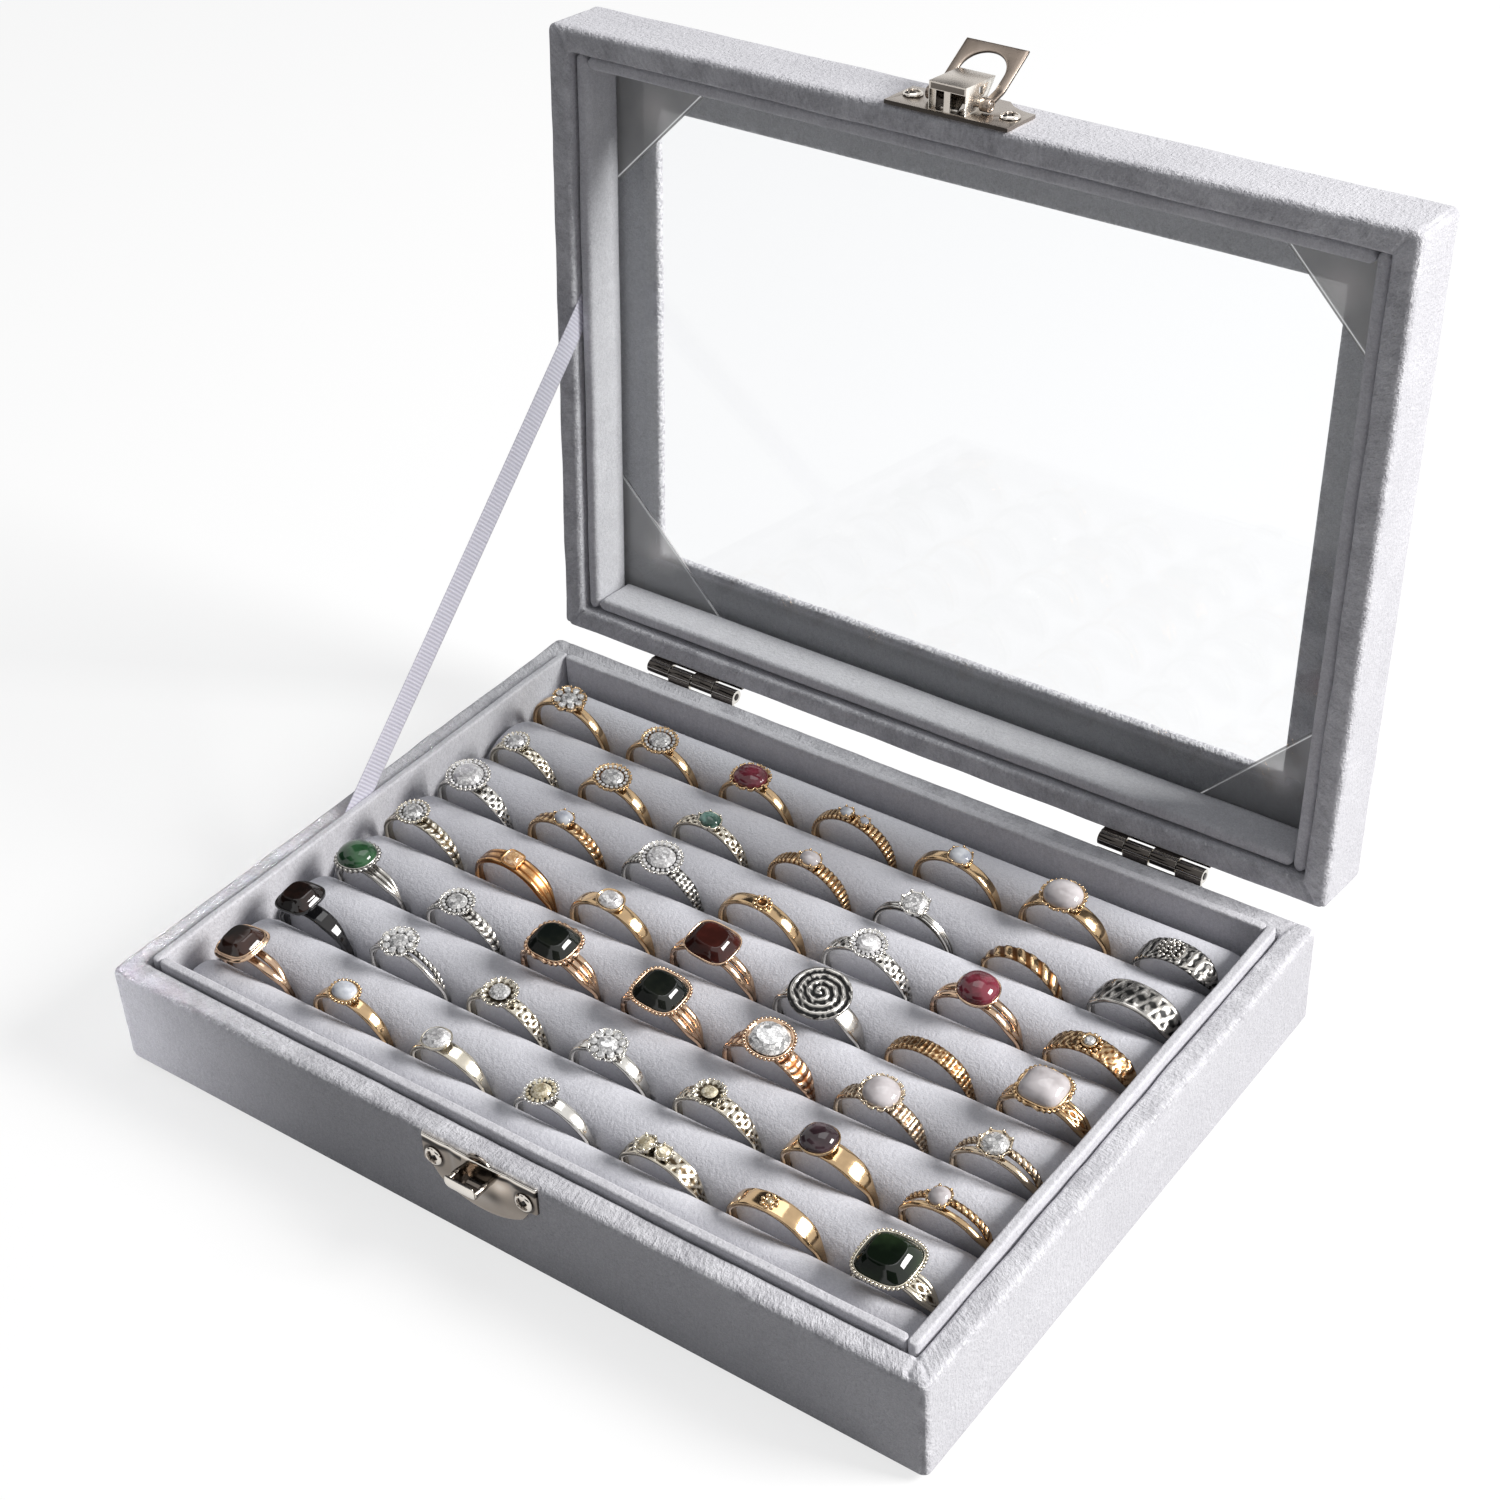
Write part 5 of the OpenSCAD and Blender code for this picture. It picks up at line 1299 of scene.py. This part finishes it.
def catch_sheet():
    """The plate: columns go down its front from a rounded top edge to a shield-shaped lower
    edge and up its back. A bell-shaped boss swells under the nose, and the thickness runs out
    in a quarter circle at both ends. Its tones are painted light."""
    x = np.linspace(-catch_w / 2, catch_w / 2, 131)
    drop = catch_mid_h - catch_end_h
    belly = ((catch_w / 2) ** 2 + drop**2) / (2 * drop)
    low = base_h - catch_top - catch_mid_h + belly - np.sqrt(belly**2 - x**2)
    low = (low + 1.3 * bell(np.abs(x) - 12.2, 1.3))[:, None]
    top = base_h - catch_top + 0.05
    a = np.radians(np.linspace(90, 0, 7))[None, :]
    b = np.radians(np.linspace(0, -90, 5))[None, :]
    share = np.linspace(0, 1, 22)[None, 1:-1]
    flat = np.zeros_like(low)
    z = np.concatenate([
        top - 0.4 + 0.4 * np.sin(a) + flat, top - 0.4 + (low + 0.3 - top + 0.4) * share,
        low + 0.3 + 0.3 * np.sin(b), low, top + flat,
    ], 1)
    out = np.concatenate([
        0.4 + 0.4 * np.cos(a), np.full_like(share, sheet), 0.5 + 0.3 * np.cos(b), [[0.05, 0.05]],
    ], 1)
    x = x[:, None]
    boss = bell(np.hypot((x - 0.4) / 5.4, (z - 19.2) / 3.6), 1)
    swept = 0.35 * bell(np.abs(x) - 7.4, 1.3) * bell(z - 21.5, 3)
    out = out + (boss - swept) * (out > 0.5)
    end = np.sqrt(np.clip(1 - (np.clip(np.abs(x) - catch_w / 2 + 0.45, 0, 0.45) / 0.45) ** 2, 0, 1))
    points = np.stack(np.broadcast_arrays(x, -base_y - 0.05 - (out - 0.05) * end, z), -1)
    # Painted light: lit is a painted highlight beside the nose, shaded a painted shade below it, a painted
    # shadow rings each screw, and below the screws the plate is a little lighter.
    lit = bell(np.hypot((x - 5.5) / 2.6, (z - 21.3) / 1.8), 1)
    shaded = bell(np.hypot((x - 3.9) / 1.6, (z - 18.4) / 2.2), 1)
    near = np.hypot(np.abs(x) - screw_x, z - catch_screw_z)
    shade = 0.45 + 0.75 * lit - 0.3 * shaded - 0.4 * bell(near - 2.35, 0.3)
    shade = shade + 0.15 * eased((catch_screw_z - z - 2) / 3)
    # A dark painted reflection runs under the top fold, and the top edge is a painted highlight.
    fold = 1.1 * np.exp(-(((z - top + 1.2) / 0.55) ** 4)) * (np.abs(x) > 3.9)
    shade = np.where(z > top - 0.42, 1.6, shade - fold)
    return points, np.clip(shade, 0.02, 2)


def nose_half(a):
    """Half the strap's width where it has turned by this angle: narrowest where it is lowest,
    so that the nose's lower corners are round."""
    return nose_w / 2 * (1 - 0.3 * np.sin(a) ** 2)


def nose_strap():
    """The nose: an ear like half a disc, then a strap that goes down, round a half circle and
    up to a lip. Its section is a flat superellipse. Its tone is painted light: painted shade on
    the hollow side, with a painted highlight on its right near the lip, and on the outer side a
    painted highlight that grows toward the lip."""
    ear = np.linspace(nose_w / 2 - 0.02, 0, 15)
    a = np.radians(np.linspace(180, 360, 34))
    lip, mid = np.linspace(0, nose_lip + 0.5, 6)[1:], nose_r - sheet / 2
    path = np.concatenate([
        np.column_stack([np.full(15, nose_r - mid), nose_z + ear]),
        np.column_stack([nose_r + mid * np.cos(a), nose_z + mid * np.sin(a)])[1:],
        np.column_stack([np.full(5, nose_r + mid), nose_z + lip]),
    ])
    half = np.concatenate([
        np.sqrt((nose_w / 2) ** 2 - ear**2), nose_half(a[1:]),
        nose_w / 2 - 0.12 * np.arange(1, 6) ** 1.3 * 0.3,
    ])
    way = np.gradient(path, axis=0)
    way /= np.linalg.norm(way, axis=1, keepdims=True)
    side = np.stack([-way[:, 1], way[:, 0]], -1)
    across, thick = superellipse(whole_turn(36), 0.28, 0.7)
    step = np.arange(len(path))
    taper = np.sqrt(np.clip(np.minimum(step + 0.3, len(path) - 0.7 - step) / 2.0, 0, 1))
    step = step[:, None]
    flat = path[:, None] + side[:, None] * (thick[None, :] * taper[:, None] * sheet / 2)[..., None]
    x = half[:, None] * across[None, :]
    # Painted light: shade on the hollow side, a highlight on its right near the lip, and on the outer side a
    # highlight toward the lip.
    hollow = (thick > 0.3)[None, :] * (np.abs(across) < 0.97)[None, :]
    inner = 0.3 + 0.35 * bell(step - 16, 2) + 0.5 * np.clip((step - 44) / 6, 0, 1) * (x > 0)
    outer = 0.7 + 0.9 * np.clip((step - 34) / 12, 0, 1)
    return np.stack([x, -base_y - flat[..., 0], flat[..., 1]], -1), np.where(hollow, inner, outer)


def nose_cheek(side):
    """A side of the nose, which closes it to a scoop: half a disc, a little domed. Its tone is
    painted light: from painted shade at the plate to a painted highlight at the strap, and
    painted shade on its inner face."""
    a = np.radians(np.linspace(180, 360, 30))[:, None]
    share = np.linspace(1, 0.03, 8)
    share = np.concatenate([share, share[::-1]])[None, :]
    mid = nose_r - sheet / 2
    x = nose_w / 2 * (1 - share**2) + nose_half(a) * share**2
    x = x + np.where(np.arange(16) < 8, 0.4 * np.sqrt(1.0 - 0.95 * share**2) - 0.15, -0.6)
    x[[0, -1]] = x[[0, -1]].mean(1, keepdims=True)
    out, up = mid * share * np.cos(a), mid * share * np.sin(a)
    # Painted light: shade at the plate, a highlight at the strap, shade on the inner face.
    tone = 0.3 + 1.1 * (np.degrees(a) / 180 - 1) ** 1.6
    points = np.stack([side * x, -base_y - nose_r - out, nose_z + up], -1)
    return points, np.where(np.arange(16)[None, :] < 8, tone, 0.35)


def screw_head(r=2.1, h=1.0, turn=0.6):
    """A round head with a cross-shaped recess: rings of a low dome, sunk where either arm of the
    cross lies. Its tone is painted light: a bright rim, painted shade inside it and in the cross,
    and a dark side. Drawn about z, from z = 0 up."""
    share = np.concatenate([[1.0, 1.0], np.linspace(0.995, 0.01, 24)])[None, :]
    a = whole_turn(64)[:, None]
    x, y = r * share * np.cos(a), r * share * np.sin(a)
    c, q = math.cos(turn), math.sin(turn)
    u, v = np.abs(x * c + y * q), np.abs(y * c - x * q)
    one, other = (
        eased((0.6 - near) / 0.2) * eased((1.5 - along) / 0.25) for near, along in ((u, v), (v, u))
    )
    arm = np.maximum(one, other)
    z = h * np.sqrt(np.clip(1.02 - share**2, 0, 1)) ** 0.8 - 0.7 * arm
    z[:, 0], z[:, 1] = 0, 0.12
    # Painted light: a highlight on the rim, shade inside it and in the cross, and a dark side.
    tone = np.clip(1.5 - 1.5 * arm - 0.8 * eased((1.45 - r * share) / 0.3) * (1 - arm), 0, 2)
    tone[:, :2] *= 0.1
    return np.stack([x, y, z], -1), tone


def on_wall(points, x, z, out):
    """What was drawn about z, put on the base's front wall and facing out of it."""
    return np.stack([points[..., 0] + x, -base_y - out - points[..., 2], z + points[..., 1]], -1)


catch = Cloth()
for points, depth in (catch_sheet(), nose_strap(), nose_cheek(1), nose_cheek(-1)):
    catch.add(points, close_columns=True, depth=depth, solid=True)
dress(catch.piece("catch_plate_pressed", nickel, weld=True), "base", "nickel", "catch_plate")
heads = Cloth()
for sx, turn in ((-1, 0.5), (1, 0.75)):
    points, depth = screw_head(turn=turn)
    heads.add(on_wall(points, sx * screw_x, catch_screw_z, sheet), close_rows=True, depth=depth, solid=True)
dress(heads.piece("catch_screw_heads", nickel, weld=True), "base", "nickel", "catch_screws")


c, q = math.cos(open_angle), math.sin(open_angle)
lid_turn = np.array([[1, 0, 0], [0, c, -q], [0, q, c]])
hinge = np.array([0, hinge_y, hinge_z])


def rebuilt(made):
    """Gives the object the mesh that its modifiers make, and drops them."""
    seen = made.evaluated_get(bpy.context.evaluated_depsgraph_get())
    made.data = bpy.data.meshes.new_from_object(seen)
    made.modifiers.clear()


def softened(node, name, body, slot, material, width, boxes=(), tones=None):
    """A copy of a CAD node with its doubles merged, boxes cut out of it, and its edges rounded
    by a bevel, so that they catch the light. A box has a centre and a size in millimetres.
    Its faces' depth is what tones says of their centres and normals, on the closed lid if it
    is a piece of the lid."""
    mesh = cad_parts[node].data.copy()
    mesh.materials.clear()
    mesh.materials.append(material)
    work = bmesh.new()
    work.from_mesh(mesh)
    bmesh.ops.remove_doubles(work, verts=work.verts, dist=2e-6)
    bmesh.ops.dissolve_limit(work, angle_limit=math.radians(2), verts=work.verts, edges=work.edges)
    work.to_mesh(mesh)
    work.free()
    made = placed(name, mesh)
    if boxes:
        work = bmesh.new()
        for centre, size in boxes:
            grown = bmesh.ops.create_cube(work, size=1.0)["verts"]
            corners = np.array([v.co for v in grown]) * size + centre
            for v, at in zip(grown, at_lid(corners)):
                v.co = at * 1e-3
        tool_mesh = bpy.data.meshes.new("cutter")
        work.to_mesh(tool_mesh)
        work.free()
        tool = placed("cutter", tool_mesh)
        cut = made.modifiers.new("cut", "BOOLEAN")
        cut.object, cut.operation, cut.solver = tool, "DIFFERENCE", "EXACT"
        rebuilt(made)
        bpy.data.objects.remove(tool)
    bevel = made.modifiers.new("rounded", "BEVEL")
    bevel.width, bevel.segments = width * 1e-3, 3
    bevel.limit_method, bevel.angle_limit = "ANGLE", math.radians(38)
    rebuilt(made)
    made.data.polygons.foreach_set("use_smooth", np.ones(len(made.data.polygons), bool))
    made.data.set_sharp_from_angle(angle=math.radians(32))
    depth = made.data.attributes.new("depth", "FLOAT", "FACE")
    value = np.ones(len(made.data.polygons), np.float32)
    if tones:
        centre = np.array([p.center for p in made.data.polygons]) * 1e3
        normal = np.array([p.normal for p in made.data.polygons])
        if body == "lid":
            centre = (centre - hinge) @ lid_turn.T + hinge
            normal = normal @ lid_turn.T
        value = tones(centre, normal).astype(np.float32)
    depth.data.foreach_set("value", value)
    return dress(made, body, slot, node)


def housing_tones(centre, normal):
    """Painted light: painted highlights on the cheeks and a lighter housing, and painted shade on a band
    above the openings, under the housing's front and along the plate's front edge.
    """
    out, up = -base_y - centre[:, 1], centre[:, 2] - lid_z0
    housing, below = out > 0.9, normal[:, 2] < -0.7
    value = np.where(housing, 1.25, 0.75)
    value = np.where(housing & (np.abs(normal[:, 0]) > 0.7), 1.9, value)
    value = np.where(below & (out < 0.9), 0.06, value)
    value = np.where(below & (out > 4.95), 0.25, value)
    band = (np.abs(centre[:, 0]) < 3.6) & (up > 1.4) & (up < 6.5) & (out < 5.4)
    return np.where(housing & band, 0.1, value)


def knuckle_tones(centre, normal):
    """Painted light: barrels near black in painted shade, with two thin painted highlights along them and
    painted highlights on their ends.
    """
    off = np.hypot(centre[:, 1] - hinge_y, centre[:, 2] - hinge_z)
    at = np.degrees(np.arctan2(normal[:, 2], normal[:, 1]))
    line = (np.abs(at - 92) < 9) | (np.abs(at - 166) < 6)
    value = np.where(line, 1.3, 0.2)
    value = np.where(np.abs(normal[:, 0]) > 0.7, 1.7, value)
    return np.where(off < 2.0, value, 0.8)


# The housing's two openings and the thin slit in front of them: centre and size of each cutter
# on the closed lid.
windows = [((sx * 2.4, -base_y - 2.9, lid_z0 + 0.8), (3.4, 4.0, 3.0)) for sx in (-1, 1)]
windows.append(((0, -base_y - 5.6, lid_z0 + 0.8), (7.7, 1.1, 0.12)))
clasp_nickel = plating("clasp_nickel", (0.55, 0.49, 0.43), (0.47, 0.41, 0.36), 0.27)
softened("clasp_plate", "clasp_plate_folded", "lid", "nickel", clasp_nickel, 0.3, windows, housing_tones)
pivot_up, pivot_out, flap_w, leg_l, flap_l, flap_bend, flap_swing = 5.5, 2.4, 14.5, 5.0, 10.6, 18.0, 146.0
arch_w, bar_w, foot_r = 10.2, 2.1, 1.4


def swung(x, y, z):
    """What was drawn on the latched flap about its pivot, y up and z out of the wall, raised by
    its swing and put on the open lid."""
    a = math.radians(-flap_swing)
    y, z = y * math.cos(a) - z * math.sin(a), y * math.sin(a) + z * math.cos(a)
    return at_lid(np.stack(np.broadcast_arrays(x, -base_y - pivot_out - z, lid_z0 + pivot_up + y), -1))


def flap_sheet():
    """The flap: rows go up one leg, round a half-circle arch and down the other leg. Each row
    is a closed superellipse from the opening's edge to the outer edge, which is the point of
    the rectangle on the same ray, and the legs are bent by an eased angle."""
    r, long = arch_w / 2, leg_l + flap_l
    centre = long - bar_w - r
    w = np.linspace(0, centre, 22)[:-1]
    a = np.radians(np.linspace(180, 0, 61))
    c, q = np.cos(a), np.sin(a)
    reach = np.minimum((flap_w / 2) / np.maximum(np.abs(c), 1e-6), (bar_w + r) / np.maximum(q, 1e-6))
    inner, outer = (
        np.concatenate([
            np.column_stack([np.full_like(w, -leg), w]),
            np.column_stack([ray * c, centre + ray * q]),
            np.column_stack([np.full_like(w, leg), w])[::-1],
        ]) for leg, ray in ((r, r), (flap_w / 2, reach))
    )
    share, thick = superellipse(whole_turn(28), 0.3, 0.6)
    plan = inner[:, None] + (outer - inner)[:, None] * (0.5 + 0.5 * share)[None, :, None]
    table = np.linspace(-1, long + 2, 400)
    angle = np.radians(flap_bend) * (1 - eased((table - leg_l + 0.8) / 1.6))
    down_y, out_z = (np.cumsum(v) * (table[1] - table[0]) for v in (-np.cos(angle), np.sin(angle)))
    zero = np.searchsorted(table, 0)
    bent = (down_y - down_y[zero], out_z - out_z[zero], angle)
    y, z, tilt = (np.interp(plan[..., 1], table, v) for v in bent)
    h = thick[None, :] * sheet / 2
    # Painted shade: the sheet's edges are dark.
    tone = np.broadcast_to(np.where(np.abs(share) > 0.96, 0.2, 1.0), tilt.shape)
    return swung(plan[..., 0], y + h * np.sin(tilt), z + h * np.cos(tilt)), tone


points, depth = flap_sheet()
flap = Cloth().add(points, close_columns=True, depth=depth, solid=True)
# The third column is each foot's tone, painted light: shade on its inner end and in its bore, lighter round
# it and on its outer end.
foot_x, foot_out, foot_tone = np.array([
    (arch_w / 2, 0.02, 0.2), (arch_w / 2, 1.25, 0.4), (arch_w / 2 + 0.15, foot_r, 0.75),
    (flap_w / 2 - 0.15, foot_r, 0.75), (flap_w / 2, 1.25, 0.9), (flap_w / 2, 0.95, 0.9),
    (flap_w / 2 - 0.3, 0.9, 0.1), (flap_w / 2 - 0.3, 0.02, 0.1),
]).T
a = whole_turn(28)[:, None]
for sx in (-1, 1):
    points = swung(sx * foot_x, foot_out * np.cos(a), foot_out * np.sin(a))
    depth = np.broadcast_to(foot_tone, points.shape[:2])
    flap.add(points, close_rows=True, depth=depth, solid=True)
flap_nickel = plating("flap_nickel", (0.4, 0.335, 0.285), (0.33, 0.27, 0.225), 0.3)
dress(flap.piece("clasp_flap_bent", flap_nickel, weld=True), "flap", "nickel", "clasp_flap")
heads = Cloth()
for sx, turn in ((-1, 0.3), (1, 0.6)):
    points, depth = screw_head(turn=turn)
    points = at_lid(on_wall(points, sx * screw_x, lid_z0 + 6.2, sheet))
    heads.add(points, close_rows=True, depth=depth, solid=True)
dress(heads.piece("clasp_screw_heads", nickel, weld=True), "lid", "nickel", "clasp_screws")


# What is left of the hardware: the spring and the pin in the housing, and the two hinges, whose
# pressed leaves and rolled knuckles are of darker, browner plate.
hinge_plate = plating("hinge_nickel", (0.3, 0.27, 0.245), (0.2, 0.18, 0.165), 0.1)
spring_nickel = plating("spring_nickel", (0.6, 0.57, 0.53), (0.5, 0.47, 0.43), 0.16)
# The hinge pins are near black: painted shade, so that each knuckle's end shows a dark hole.
pin_painted_dark = plating("pin_painted_dark", (0.06, 0.055, 0.05), (0.04, 0.036, 0.033), 0.2)
softened("clasp_spring", "clasp_spring_leaf", "lid", "spring_steel", spring_nickel, 0.08)
softened("clasp_pin", "clasp_pin_turned", "lid", "nickel", nickel, 0.15)
softened(
    "hinge_base_leaves", "hinge_leaves_base", "base", "hinge_steel", hinge_plate, 0.14,
    tones=knuckle_tones,
)
softened(
    "hinge_lid_leaves", "hinge_leaves_lid", "lid", "hinge_steel", hinge_plate, 0.14,
    tones=lambda centre, normal: knuckle_tones(centre, normal @ lid_turn),
)
softened("hinge_pins", "hinge_pins_turned", "base", "hinge_steel", pin_painted_dark, 0.1)
softened("hinge_base_screws", "hinge_screws_base", "base", "hinge_steel", hinge_plate, 0.08)
softened("hinge_lid_screws", "hinge_screws_lid", "lid", "hinge_steel", hinge_plate, 0.08)


bpy.context.view_layer.update()
bpy.context.scene.view_settings.view_transform = "Standard"
